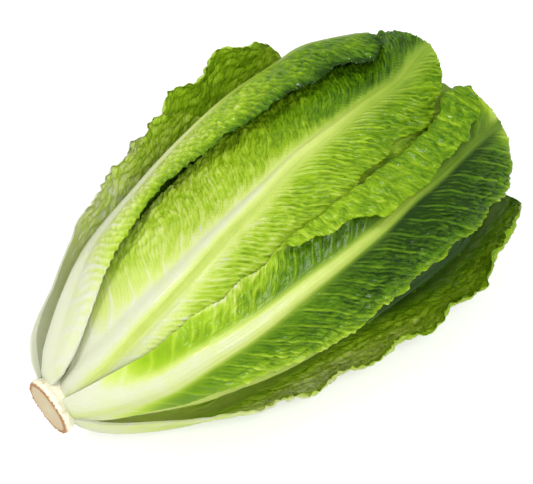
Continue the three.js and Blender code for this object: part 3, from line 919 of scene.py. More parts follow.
class Graph:
    """Builds a material's node tree with short calls."""

    def __init__(self, name: str) -> None:
        """Start an empty material.

        Args:
            name: The material's name.
        """
        self.material = bpy.data.materials.new(name)
        self.material.use_nodes = True
        self.tree = self.material.node_tree
        self.tree.nodes.clear()

    def add(self, kind: str, links: dict | None = None, **settings: object) -> bpy.types.Node:
        """Add a node.

        Args:
            kind: The node's type.
            links: Socket name or number to a value or another node's output.
            settings: Properties of the node itself.

        Returns:
            The node.
        """
        node = self.tree.nodes.new(kind)
        for key, value in settings.items():
            setattr(node, key, value)
        for key, value in (links or {}).items():
            socket = node.inputs[key]
            if isinstance(value, bpy.types.NodeSocket):
                self.tree.links.new(value, socket)
            else:
                socket.default_value = value
        return node

    def math(self, operation: str, *values: object) -> bpy.types.NodeSocket:
        """Return the result of a Math node."""
        links = dict(enumerate(values))
        return self.add("ShaderNodeMath", links, operation=operation).outputs[0]

    def total(self, *values: object) -> object:
        """Return the sum of several values."""
        return reduce(partial(self.math, "ADD"), values)

    def product(self, *values: object) -> object:
        """Return the product of several values."""
        return reduce(partial(self.math, "MULTIPLY"), values)

    def plane(self, x: object, y: object) -> object:
        """Return a flat place made of two values."""
        return self.add("ShaderNodeCombineXYZ", {"X": x, "Y": y}).outputs[0]

    def noise(self, place: object, scale: float, detail: float, rough: float = 0.6) -> object:
        """Return cloudy noise from 0 to 1.

        Args:
            place: Where it is read.
            scale: How many clouds fit in one unit.
            detail: How many finer layers it has.
            rough: How strong the finer layers are.

        Returns:
            The noise.
        """
        links = {"Vector": place, "Scale": scale, "Detail": detail, "Roughness": rough}
        return self.add("ShaderNodeTexNoise", links).outputs["Fac"]

    def blend(self, share: object, first: object, second: object) -> object:
        """Mix two colours.

        Args:
            share: 0 for the first colour, 1 for the second.
            first: A colour or another node's output.
            second: The same for the second.

        Returns:
            The mixed colour.
        """
        pair = [(*side, 1.0) if isinstance(side, tuple) else side for side in (first, second)]
        links = {0: share, 6: pair[0], 7: pair[1]}
        return self.add("ShaderNodeMix", links, data_type="RGBA").outputs[2]

    def bump(self, height: object, strength: float, depth: float) -> object:
        """Return a surface direction roughened by a height."""
        links = {"Height": height, "Strength": strength, "Distance": depth}
        return self.add("ShaderNodeBump", links).outputs[0]

    def skin(self, colour: object, rough: object, **more: object) -> object:
        """Make a surface.

        Args:
            colour: Its colour.
            rough: Its roughness.
            more: Its other inputs, with underscores for spaces.

        Returns:
            The shader.
        """
        links = {key.replace("_", " "): value for key, value in more.items()}
        links |= {"Base Color": colour, "Roughness": rough}
        return self.add("ShaderNodeBsdfPrincipled", links).outputs[0]

    def centred(self, value: object, breadth: float) -> object:
        """Return a value from 0 to 1 as one from minus to plus half a breadth."""
        return self.math("MULTIPLY", self.math("SUBTRACT", value, 0.5), breadth)

    def spread(self, value: object, low: float, high: float, to: tuple = (0.0, 1.0)) -> object:
        """Spread a value's soft step over a range.

        Args:
            value: The value.
            low: Where the step begins.
            high: Where it ends.
            to: Results before and after the step.

        Returns:
            The result.
        """
        links = {"Value": value, "From Min": low, "From Max": high}
        links |= {"To Min": to[0], "To Max": to[1]}
        node = self.add("ShaderNodeMapRange", links, interpolation_type="SMOOTHSTEP")
        return node.outputs["Result"]

    def mark(self, name: str) -> bpy.types.NodeSocket:
        """Return a number stored on the mesh."""
        return self.add("ShaderNodeAttribute", attribute_name=name).outputs["Fac"]

    def ramp(self, value: object, stops: tuple[tuple[float, Colour], ...]) -> object:
        """Turn a value into a colour.

        Args:
            value: The value, 0 to 1.
            stops: Places and the colours that stand at them.

        Returns:
            The colour.
        """
        node = self.add("ShaderNodeValToRGB", {"Fac": value})
        band = node.color_ramp
        while len(band.elements) < len(stops):
            band.elements.new(0.5)
        for element, (place, colour) in zip(band.elements, stops):
            element.position = place
            element.color = (*colour, 1.0)
        return node.outputs["Color"]

    def close(self, shader: object) -> bpy.types.Material:
        """Send a shader to the surface and return the material."""
        self.add("ShaderNodeOutputMaterial", {"Surface": shader})
        return self.material


@dataclass(frozen=True)
class LeafFinish:
    """Waxy leaf tissue: green between pale veins, white towards the rib.

    Attributes:
        name: The material's name.
        stops: Colours of the blade, from deep green to white.
        rib_stops: Colours of the rib.
        rib_edge: Distances from the rib between which the blade's colours begin.
        veined: Distances from the cut between which creases begin.
        vein_turn: Distances from the rib between which the side veins grow thin.
        vein_breadth: Their breadth before and after, in spacings.
        vein_fade: Distances from the rib between which their strength changes.
        vein_strength: Their strength before and after.
        vein_edge: Power that sharpens them.
        crease: Length and spacing of the creases, in millimetres and side veins.
        crease_depth: Strength of the creases, whose tone is painted shade where they sink.
        fibre: Scale, stretch and strength of the rib's fibres.
        mottle: Scale and strength of the soft spots.
        rim: Width and strength of the paler rim, painted light of light shining through the thin
            margin.
        grain: Scale of the finest grain.
        relief: Weights of creases, veins, grain and fibre in the fine relief.
        bump: Strength of the fine relief, and its depth in metres.
        roughness: Least and most roughness.
        translucence: Share of light that passes through.
        coat: Strength and roughness of the waxy coat.
        specular: Strength of the reflection under it.
        ior: Index of refraction.
    """

    name: str = "leaf_tissue"
    stops: tuple[tuple[float, Colour], ...] = (
        (0.00, (0.020, 0.062, 0.002)),
        (0.15, (0.060, 0.160, 0.003)),
        (0.30, (0.120, 0.270, 0.004)),
        (0.45, (0.230, 0.400, 0.010)),
        (0.58, (0.350, 0.560, 0.015)),
        (0.70, (0.470, 0.650, 0.050)),
        (0.80, (0.590, 0.730, 0.140)),
        (0.90, (0.670, 0.760, 0.260)),
        (1.00, (0.720, 0.740, 0.570)),
    )
    rib_stops: tuple[tuple[float, Colour], ...] = (
        (0.00, (0.020, 0.060, 0.004)),
        (0.30, (0.170, 0.300, 0.020)),
        (0.50, (0.340, 0.480, 0.050)),
        (0.70, (0.520, 0.640, 0.130)),
        (0.85, (0.660, 0.750, 0.230)),
        (1.00, (0.720, 0.740, 0.570)),
    )
    rib_edge: tuple[float, float] = (3.0, 12.0)
    veined: tuple[float, float] = (70.0, 130.0)
    vein_turn: tuple[float, float] = (6.0, 34.0)
    vein_breadth: tuple[float, float] = (0.22, 0.09)
    vein_fade: tuple[float, float] = (8.0, 40.0)
    vein_strength: tuple[float, float] = (0.05, 0.07)
    vein_edge: float = 1.5
    crease: tuple[float, float] = (3.2, 0.085)
    crease_depth: float = 0.7
    fibre: tuple[float, float, float] = (0.9, 0.04, 0.16)
    mottle: tuple[float, float] = (0.09, 0.16)
    rim: tuple[float, float] = (1.2, 0.04)
    grain: float = 1.2
    relief: tuple[float, float, float, float] = (5.0, 5.0, 0.7, 4.0)
    bump: tuple[float, float] = (0.7, 0.0007)
    roughness: tuple[float, float] = (0.30, 0.46)
    translucence: float = 0.36
    coat: tuple[float, float] = (0.26, 0.1)
    specular: float = 0.07
    ior: float = 1.42

    def make(self) -> bpy.types.Material:
        """Make the leaf material.

        Returns:
            The material.
        """
        graph = Graph(self.name)
        pale, phase = graph.mark("pale"), graph.mark("phase")
        away, edge = graph.mark("away"), graph.mark("edge")
        across, along = graph.mark("across"), graph.mark("along")
        plane = graph.plane(across, along)
        scale, strength = self.mottle
        mottle = graph.noise(plane, scale, 5.0)
        clear = graph.spread(away, *self.rib_edge)
        outer = graph.spread(along, *self.veined)

        veins = self.side_veins(graph, phase, away, clear)
        # The creases: painted shade where they sink and painted light where they rise, matching
        # their bump.
        creased = graph.product(self.creases(graph, away, phase), clear, outer)
        fibre = self.fibres(graph, across, along, clear)
        spots = graph.centred(mottle, strength)
        # A thin paler rim at every margin: painted light standing in for light shining through the
        # thin edge.
        width, rim_light = self.rim
        rim = graph.spread(edge, 0.0, width, (rim_light, 0.0))
        tone = graph.total(pale, veins, creased, fibre, spots, rim)
        blade, rib = graph.ramp(tone, self.stops), graph.ramp(tone, self.rib_stops)
        colour = graph.blend(clear, rib, blade)

        parts = (creased, veins, graph.noise(plane, self.grain, 4.0), fibre)
        height = graph.total(*map(graph.product, parts, self.relief))
        bump = graph.bump(height, *self.bump)
        rough = graph.spread(mottle, 0.3, 0.7, self.roughness)
        coat, coat_rough = self.coat
        skin = graph.skin(
            colour, rough, Normal=bump, Coat_Weight=coat, Coat_Roughness=coat_rough,
            IOR=self.ior, Specular_IOR_Level=self.specular,
        )
        glow = graph.add("ShaderNodeBsdfTranslucent", {"Color": colour, "Normal": bump}).outputs[0]
        links = {0: self.translucence, 1: skin, 2: glow}
        return graph.close(graph.add("ShaderNodeMixShader", links).outputs[0])

    def side_veins(self, graph: Graph, phase: object, away: object, clear: object) -> object:
        """Draw the pale side veins, which grow thinner away from the rib.

        Args:
            graph: The material.
            phase: Count of side veins up to each point.
            away: Distance from the rib.
            clear: 0 on the rib and 1 beyond it.

        Returns:
            What they add to the tone.
        """
        off = graph.math("PINGPONG", phase, 0.5)
        breadth = graph.spread(away, *self.vein_turn, self.vein_breadth)
        main = graph.math("SUBTRACT", 1.0, graph.math("DIVIDE", off, breadth))
        main = graph.math("MAXIMUM", main, 0.0)
        strength = graph.spread(away, *self.vein_fade, self.vein_strength)
        return graph.product(graph.math("POWER", main, self.vein_edge), strength, clear)

    def creases(self, graph: Graph, away: object, phase: object) -> object:
        """Draw the fine creases that run along the side veins.

        Args:
            graph: The material.
            away: Distance from the rib.
            phase: Count of side veins up to each point.

        Returns:
            What they add to the tone, about zero: painted shade where they sink, painted light
                where they rise.
        """
        long, narrow = self.crease
        place = graph.plane(graph.math("DIVIDE", away, long), graph.math("DIVIDE", phase, narrow))
        return graph.centred(graph.noise(place, 1.0, 3.0), self.crease_depth)

    def fibres(self, graph: Graph, across: object, along: object, clear: object) -> object:
        """Draw the long fibres of the rib.

        Args:
            graph: The material.
            across: Signed distance from the rib.
            along: Distance from the cut.
            clear: 0 on the rib and 1 beyond it.

        Returns:
            What they add to the tone, about zero.
        """
        scale, stretch, strength = self.fibre
        stretched = graph.plane(across, graph.math("MULTIPLY", along, stretch))
        strands = graph.centred(graph.noise(stretched, scale, 3.0), strength)
        return graph.product(strands, graph.math("SUBTRACT", 1.0, clear))


@dataclass(frozen=True)
class StemFinish:
    """Cream stem tissue with tan scars, and a dried cut face with a brown rim.

    Attributes:
        name: The material's name.
        cream: Colour of the sound tissue.
        tan: Colour of its scars.
        face: Colour of the dried cut.
        heart: Colour of the pith in its middle.
        rim: Colour of its dry rim.
        pith: Distances from the middle between which the pith ends.
        dry_rim: Distances from the middle between which the rim begins.
        dried: Distances from the cut between which the dried tissue ends.
        unevenness: How far blotches shift the pith, the rim and the dried tissue.
        blotch: Scale of the blotches.
        fibre: Scale of the fibres.
        scars: Strengths of a blotch between which it turns into a scar.
        fibre_relief: Height of the fibres, against that of the blotches.
        bump: Strength of the fine relief, and its depth in metres.
        roughness: Least and most roughness.
    """

    name: str = "cut_stem"
    cream: Colour = (0.70, 0.68, 0.52)
    tan: Colour = (0.52, 0.36, 0.16)
    face: Colour = (0.46, 0.36, 0.20)
    heart: Colour = (0.38, 0.34, 0.15)
    rim: Colour = (0.30, 0.135, 0.035)
    pith: tuple[float, float] = (2.0, 9.0)
    dry_rim: tuple[float, float] = (14.4, 16.0)
    dried: tuple[float, float] = (1.3, 3.0)
    unevenness: tuple[float, float, float] = (3.0, 2.4, 2.2)
    blotch: float = 160.0
    fibre: float = 900.0
    scars: tuple[float, float] = (0.54, 0.66)
    fibre_relief: float = 0.4
    bump: tuple[float, float] = (0.6, 0.0008)
    roughness: tuple[float, float] = (0.5, 0.75)

    def make(self) -> bpy.types.Material:
        """Make the stem material.

        Returns:
            The material.
        """
        graph = Graph(self.name)
        along, radius = graph.mark("along"), graph.mark("radius")
        place = graph.add("ShaderNodeTexCoord").outputs["Object"]
        blotch = graph.noise(place, self.blotch, 6.0, 0.65)
        fibre = graph.noise(place, self.fibre, 3.0, 0.5)

        distances = (radius, radius, along)
        uneven = [
            graph.total(distance, graph.product(blotch, shift))
            for distance, shift in zip(distances, self.unevenness)
        ]
        ends = (self.pith, self.dry_rim, self.dried)
        past_pith, in_rim, sound = (graph.spread(at, *end) for at, end in zip(uneven, ends))
        side = graph.blend(graph.spread(blotch, *self.scars), self.cream, self.tan)
        disc = graph.blend(past_pith, self.heart, self.face)
        colour = graph.blend(sound, graph.blend(in_rim, disc, self.rim), side)

        height = graph.total(blotch, graph.product(fibre, self.fibre_relief))
        rough = graph.spread(blotch, 0.3, 0.7, self.roughness)
        skin = graph.skin(colour, rough, Normal=graph.bump(height, *self.bump))
        return graph.close(skin)


@dataclass(frozen=True)
class FloorFinish:
    """A plain pale studio floor.

    Attributes:
        name: The material's name.
        colour: Its colour.
        grain: Scale of its grain.
        roughness: Least and most roughness.
    """

    name: str = "studio_floor"
    colour: Colour = (0.83, 0.83, 0.83)
    grain: float = 300.0
    roughness: tuple[float, float] = (0.8, 0.9)

    def make(self) -> bpy.types.Material:
        """Make the floor material.

        Returns:
            The material.
        """
        graph = Graph(self.name)
        place = graph.add("ShaderNodeTexCoord").outputs["Object"]
        grain = graph.noise(place, self.grain, 2.0, 0.5)
        rough = graph.spread(grain, 0.3, 0.7, self.roughness)
        return graph.close(graph.skin((*self.colour, 1.0), rough))


# ------------------------------------------------------------------ pieces


def take_mesh(shape: bmesh.types.BMesh, name: str) -> bpy.types.Mesh:
    """Turn a finished shape into a smooth mesh and let the shape go.

    Args:
        shape: The shape.
        name: The mesh's name.

    Returns:
        The mesh.
    """
    mesh = bpy.data.meshes.new(name)
    shape.to_mesh(mesh)
    shape.free()
    mesh.polygons.foreach_set("use_smooth", np.ones(len(mesh.polygons), bool))
    return mesh


def corners(mesh: bpy.types.Mesh) -> Array:
    """Read the places of a mesh's points.

    Args:
        mesh: The mesh.

    Returns:
        A row of three coordinates for each point.
    """
    flat = np.empty(len(mesh.vertices) * 3)
    mesh.vertices.foreach_get("co", flat)
    return flat.reshape(-1, 3)


def lay_out(mesh: bpy.types.Mesh, points: Array, marks: dict[str, Array]) -> None:
    """Move a mesh's points to their places and store the marks that a finish reads.

    Args:
        mesh: The mesh.
        points: The new places, in millimetres.
        marks: Each mark's name and its value at every point.
    """
    mesh.vertices.foreach_set("co", (points * MM).ravel())
    for name, values in marks.items():
        layer = mesh.attributes.new(name, "FLOAT", "POINT")
        layer.data.foreach_set("value", np.ascontiguousarray(values, np.float32))
    mesh.update()


def blade_mesh(name: str, form: LeafForm, columns: int, rows: int) -> bpy.types.Mesh:
    """Make one leaf's closed mesh.

    Args:
        name: The mesh's name.
        form: The leaf.
        columns: Number of cells across the blade.
        rows: Number of cells along it.

    Returns:
        The mesh, in metres, with its marks.
    """
    shape = bmesh.new()
    bmesh.ops.create_grid(shape, x_segments=columns, y_segments=rows, size=1.0)
    under = shape.faces[:]
    made = bmesh.ops.extrude_face_region(shape, geom=under, use_keep_orig=True)
    lifted = [part for part in made["geom"] if isinstance(part, bmesh.types.BMVert)]
    bmesh.ops.translate(shape, verts=lifted, vec=(0, 0, 1))
    bmesh.ops.reverse_faces(shape, faces=under)
    mesh = take_mesh(shape, name)

    flat = corners(mesh)
    column = np.rint((flat[:, 0] + 1) / 2 * columns).astype(int)
    row = np.rint((flat[:, 1] + 1) / 2 * rows).astype(int)
    is_outer = flat[:, 2] > 0.5
    surface = LeafSurface(form, columns, rows)
    inner, outer = surface.faces()
    points = np.where(is_outer[:, None], outer[row, column], inner[row, column])
    marks = {
        key: np.where(is_outer, outside[row, column], inside[row, column])
        for key, (inside, outside) in surface.marks().items()
    }
    lay_out(mesh, points, marks)
    return mesh


def show(mesh: bpy.types.Mesh, material: bpy.types.Material) -> bpy.types.Object:
    """Put a mesh into the scene with its material.

    Args:
        mesh: The mesh.
        material: Its material.

    Returns:
        The new object.
    """
    piece = bpy.data.objects.new(mesh.name, mesh)
    bpy.context.scene.collection.objects.link(piece)
    mesh.materials.append(material)
    return piece


def stand_for(piece: bpy.types.Object, node: str) -> None:
    """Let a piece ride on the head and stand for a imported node.

    Args:
        piece: The piece.
        node: The node that it replaces.
    """
    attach(piece, "root")
    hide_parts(node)
    LOG.info("%s: %d faces", piece.name, len(piece.data.polygons))


@dataclass
class Stem:
    """The short cut stem that carries the leaves.

    Attributes:
        outline: Pairs of distance from the cut and radius, from the cut inwards.
        widest: Radius that no lump stands past.
        sides: Number of steps round it.
        slant: How far the cut rises for each millimetre towards its high side.
        slant_angle: Where its high side lies, in degrees from the top.
        slant_depth: Distance from the cut where the stem is square again.
        lump: Height of the lumps on its side.
        lump_cells: Lumps over its radius and length of one, broad and fine.
        fine_lump: Height of the fine lumps, against the broad ones.
        lumped_radii: Radii between which the lumps set in.
        lumped: Distances from the cut between which they set in.
        dent: Depth of the dents in the cut face.
        dent_size: Size of a dent.
        dented: Distance from the cut within which the stem is dented.
        torn: Height of the torn rim of the cut.
        torn_cells: Steps of the torn rim over the radius.
        torn_radii: Radii between which the torn rim sets in.
        seeds: Pick the broad lumps, the fine ones, the dents and the torn rim.
        finish: Its finish.
    """

    outline: Points = field(
        default_factory=lambda: [
            (0.9, 0), (0.7, 3), (0.5, 7), (0.3, 11), (0.1, 14), (0, 15.3), (0.5, 16.1),
            (1.4, 16.4), (2.8, 16.6), (4.2, 16.5), (5.6, 15.8), (7.5, 14.6), (9.5, 13.4),
            (12, 12.0), (15.5, 10.5), (20, 9.8), (26, 9), (30, 8.2), (45, 6.6), (46, 5.6), (46, 0),
        ]
    )
    widest: float = 16.8
    sides: int = 180
    slant: float = 0.19
    slant_angle: float = 20.0
    slant_depth: float = 8.0
    lump: float = 0.5
    lump_cells: tuple[tuple[float, float], ...] = ((3, 6), (9, 2))
    fine_lump: float = 0.5
    lumped_radii: tuple[float, float] = (8, 15)
    lumped: tuple[float, float] = (-0.5, 2.5)
    dent: float = 0.25
    dent_size: float = 3
    dented: float = 1.3
    torn: float = 0.7
    torn_cells: float = 14
    torn_radii: tuple[float, float] = (13, 16)
    seeds: tuple[int, int, int, int] = (4, 6, 8, 12)
    finish: StemFinish = StemFinish()

    def turned(self) -> bpy.types.Mesh:
        """Turn the plain stem round the axis Z.

        Returns:
            Its mesh, in millimetres.
        """
        shape = bmesh.new()
        rail = [shape.verts.new((radius, 0, distance)) for distance, radius in self.outline]
        edges = [shape.edges.new(pair) for pair in zip(rail, rail[1:])]
        bmesh.ops.subdivide_edges(shape, edges=edges, cuts=2)
        bmesh.ops.spin(
            shape, geom=shape.verts[:] + shape.edges[:], cent=(0, 0, 0), axis=(0, 0, 1),
            angle=2 * math.pi, steps=self.sides, use_merge=True,
        )
        bmesh.ops.remove_doubles(shape, verts=shape.verts[:], dist=1e-4)
        bmesh.ops.recalc_face_normals(shape, faces=shape.faces[:])
        return take_mesh(shape, "stem_dressed")

    def scarred(self, flat: Array) -> Array:
        """Slant the cut, and give the stem its lumps, dents and torn rim.

        Args:
            flat: The plain stem's points.

        Returns:
            The points on the head.
        """
        distance, radius = flat[:, 2], np.hypot(flat[:, 0], flat[:, 1])
        angle = np.arctan2(flat[:, 0], flat[:, 1])
        x, y = np.sin(angle), np.cos(angle)
        broad, fine = (
            noise(x * count + distance / length, y * count, seed)
            for (count, length), seed in zip(self.lump_cells, self.seeds)
        )
        on_side = smooth(radius, *self.lumped_radii) * smooth(distance, *self.lumped)
        swell = self.lump * (broad + self.fine_lump * fine) * on_side
        dents = noise(flat[:, 0] / self.dent_size, flat[:, 1] / self.dent_size, self.seeds[2])
        dent = self.dent * dents * (distance < self.dented)
        torn = noise(x * self.torn_cells, y * self.torn_cells, self.seeds[3])
        ragged = self.torn * torn * smooth(radius, *self.torn_radii)
        towards = radius * np.cos(angle - math.radians(self.slant_angle))
        share = np.clip(1 - distance / self.slant_depth, 0, 1)
        slanted = np.maximum(distance + dent, 0) + (self.slant * towards + ragged) * share
        return HEAD.place(slanted, angle, np.minimum(radius + swell, self.widest))

    def build(self) -> bpy.types.Object:
        """Make the stem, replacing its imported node.

        Returns:
            The stem.
        """
        mesh = self.turned()
        flat = corners(mesh)
        marks = {"along": flat[:, 2], "radius": np.hypot(flat[:, 0], flat[:, 1])}
        lay_out(mesh, self.scarred(flat), marks)
        piece = show(mesh, self.finish.make())
        stand_for(piece, "stem")
        return piece


@dataclass
class Heart:
    """The small pale leaves round the growing tip, on their short core.

    Attributes:
        tones: How pale its leaves are.
        count: Number of its leaves.
        turn: Angle of the first leaf and from each leaf to the next, in degrees.
        root: Distance from the cut where its leaves start.
        tip: Distance from the cut to the first leaf's tip, and its change for each next one.
        reach: How far the first leaf stands from the middle, and its change.
        breadth: Half-width of the first leaf, and its change.
        core_length: Half-length of the core.
        core_radius: Radius of the core.
        core_middle: Distance from the cut to the core's middle.
        columns: Number of cells across a leaf's mesh.
        rows: Number of cells along it.
    """

    tones: Tones = Tones(
        blade=[(60, 0.95), (120, 0.84), (190, 0.72), (250, 0.6)],
        rib=[(60, 1), (250, 0.85)], edge=0.0,
    )
    count: int = 5
    turn: tuple[float, float] = (60, 137.5)
    root: float = 60
    tip: tuple[float, float] = (262, -9)
    reach: tuple[float, float] = (56, -6)
    breadth: tuple[float, float] = (44, -4)
    core_length: float = 40.0
    core_radius: float = 16.0
    core_middle: float = 86.4
    columns: int = 36
    rows: int = 70

    def leaf(self, index: int) -> LeafForm:
        """Describe one of the small leaves, each smaller than the one before.

        Args:
            index: Its place, 0 for the first.

        Returns:
            Its form.
        """
        turn, end, wide, breadth = (
            first + step * index
            for first, step in (self.turn, self.tip, self.reach, self.breadth)
        )
        radii = [
            (self.root, 5), (84, 11), (100, 12 + 0.2 * wide), (120, 0.6 * wide),
            (150, 0.85 * wide), (190, wide), (end, wide - 14),
        ]
        widths: Points = [(self.root, 4), (95, 9), (118, 0.5 * breadth), (170, breadth)]
        return LeafForm(
            name=f"heart_leaf_{index}", start=self.root, end=end, tip=0.78, tones=self.tones,
            angle=[(0, turn), (300, turn)],
            inset=[(at, float(HEAD.half_width(at)) - value) for at, value in radii],
            left=widths, right=widths, rib=[(60, 2.6), (120, 2), (190, 1.5), (260, 1.1)],
            waves=(1, 1, 30, index), lobes=(1.5, 27, index), seed=70 + index,
        )

    def build(self, material: bpy.types.Material) -> bpy.types.Object:
        """Make the heart as one piece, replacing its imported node.

        Args:
            material: The finish of its leaves.

        Returns:
            The heart.
        """
        shape = bmesh.new()
        for index in range(self.count):
            mesh = blade_mesh(f"heart_blade_{index}", self.leaf(index), self.columns, self.rows)
            shape.from_mesh(mesh)
            bpy.data.meshes.remove(mesh)
        core = bmesh.ops.create_uvsphere(shape, u_segments=32, v_segments=24, radius=1.0)["verts"]
        pale = shape.verts.layers.float["pale"]
        for vert in core:
            vert[pale] = 1.0
        radius, length = self.core_radius * MM, self.core_length * MM
        size = Matrix.Diagonal((radius, radius, length, 1))
        turned = Matrix((HEAD.across, HEAD.up, HEAD.along)).transposed().to_4x4()
        middle = Vector(HEAD.cut_centre) + Vector(HEAD.along) * self.core_middle
        lay = Matrix.Translation(middle * MM) @ turned @ size
        bmesh.ops.transform(shape, matrix=lay, verts=core)
        bmesh.ops.recalc_face_normals(shape, faces=shape.faces[:])
        piece = show(take_mesh(shape, "heart_dressed"), material)
        stand_for(piece, "heart")
        return piece


class Ring(Enum):
    """The turn of leaves that a leaf belongs to, by its record slot."""

    OUTER = "outer_leaf"
    FRONT = "front_leaf"
    MIDDLE = "middle_leaf"
    INNER = "inner_leaf"


# Tones of the back left leaf. Its near white blade up to 120 mm is painted light that lifts a leaf
# lying in shade beyond the front left leaf.
BACK_LEFT = Tones(
    blade=[(20, 0.95), (60, 0.94), (120, 0.92), (150, 0.62), (190, 0.56), (234, 0.62)],
    rib=[(20, 1), (80, 0.95), (160, 0.85), (234, 0.75)],
)
# Tones of the outer left leaf. Its near white blade is painted light that lifts a leaf lying in
# shade beside the front left leaf.
SIDE_LEFT = Tones(
    blade=[
        (20, 1), (40, 0.97), (60, 0.96), (80, 0.95), (100, 0.93), (120, 0.86), (140, 0.74),
        (178, 0.62),
    ],
    rib=[(20, 1), (60, 0.92), (100, 0.82), (178, 0.75)], edge=0.0,
)
# Tones of the outer right leaf, shared by the leaf underneath. The near white blade is painted
# light that lifts the outer right leaf, which lies in shade under the front right leaf.
LOW_RIGHT = Tones(
    blade=[
        (20, 0.9), (60, 0.95), (80, 0.97), (110, 0.97), (140, 0.95), (180, 0.82), (230, 0.66),
        (284, 0.62),
    ],
    rib=[(20, 0.95), (50, 0.8), (80, 0.6), (110, 0.5), (160, 0.3), (200, 0.1), (284, 0.2)],
    feather=14.0, edge=-0.2,
)
RIGHT = Tones(
    blade=[
        (20, 0.9), (40, 0.58), (60, 0.34), (80, 0.28), (100, 0.27), (140, 0.21), (180, 0.05),
        (210, 0.0), (250, 0.0), (287, 0.14),
    ],
    rib=[(20, 0.97), (110, 0.92), (140, 0.86), (180, 0.68), (200, 0.56), (240, 0.32), (287, 0.24)],
    feather=[(20, 7), (80, 3), (200, 2)], edge=0.48,
    left=[(20, 0.2), (100, 0.12), (150, 0.02), (200, 0.1)],
    rolled=[(110, 0.66), (150, 0.60), (200, 0.5), (240, 0.42), (287, 0.38)],
    # Its flank is partly yellower tissue and partly painted shade of the rib's right flank.
    flank=[(20, 0.1), (60, 0.06), (110, 0.1), (140, 0.14), (240, 0.1)], vein=0.13,
)
LEFT = Tones(
    blade=[
        (20, 0.98), (60, 0.92), (80, 0.88), (100, 0.84), (120, 0.77), (140, 0.71), (160, 0.65),
        (180, 0.56), (200, 0.45), (240, 0.30), (268, 0.32),
    ],
    rib=[(20, 1), (80, 1), (120, 0.95), (160, 0.84), (200, 0.56), (268, 0.38)],
    edge=-0.42, left=[(60, 0), (100, -0.1), (200, -0.08)],
)
MIDDLE = Tones(
    blade=[
        (20, 1), (40, 0.86), (60, 0.74), (80, 0.68), (120, 0.62), (140, 0.60), (160, 0.55),
        (180, 0.50), (200, 0.45), (220, 0.41), (240, 0.37), (281, 0.38),
    ],
    rib=[
        (20, 1), (140, 0.97), (160, 0.92), (180, 0.86), (200, 0.78), (220, 0.62), (240, 0.5),
        (281, 0.4),
    ],
    feather=[(40, 14), (100, 9), (140, 7), (180, 5.5), (220, 4), (281, 4)], edge=0.04,
    # Left of the rib it darkens from 180 mm to the tip: painted shade cast by the front left
    # leaf's fold.
    left=[(40, 0.08), (100, 0.06), (150, 0.02), (180, -0.06), (240, -0.24)],
    # Its flank is partly yellower tissue and partly painted shade of the rib's right flank.
    flank=[(20, 0.08), (40, 0.2), (60, 0.26), (110, 0.28), (150, 0.2), (190, 0.08), (240, 0.04)],
)
# Tones of the middle right leaf. From 165 mm on they are painted shade: near black where it lies
# in the deep crack between the front leaves.
UNDER_RIGHT = Tones(
    blade=[(20, 0.95), (50, 0.6), (80, 0.52), (140, 0.44), (165, 0.1), (185, -0.05), (262, 0.0)],
    rib=[(20, 1), (60, 0.74), (120, 0.5), (160, 0.1), (185, -0.05), (262, 0.0)],
)
PALE = Tones(
    blade=[(20, 1), (80, 0.88), (150, 0.66), (220, 0.36), (277, 0.28)],
    rib=[(20, 1), (150, 0.9), (220, 0.5), (277, 0.4)],
)
PUFFED = Relief(pleat=0.25, crinkle=0.7, blister=1.9, puffed=(0.0, 0.4))


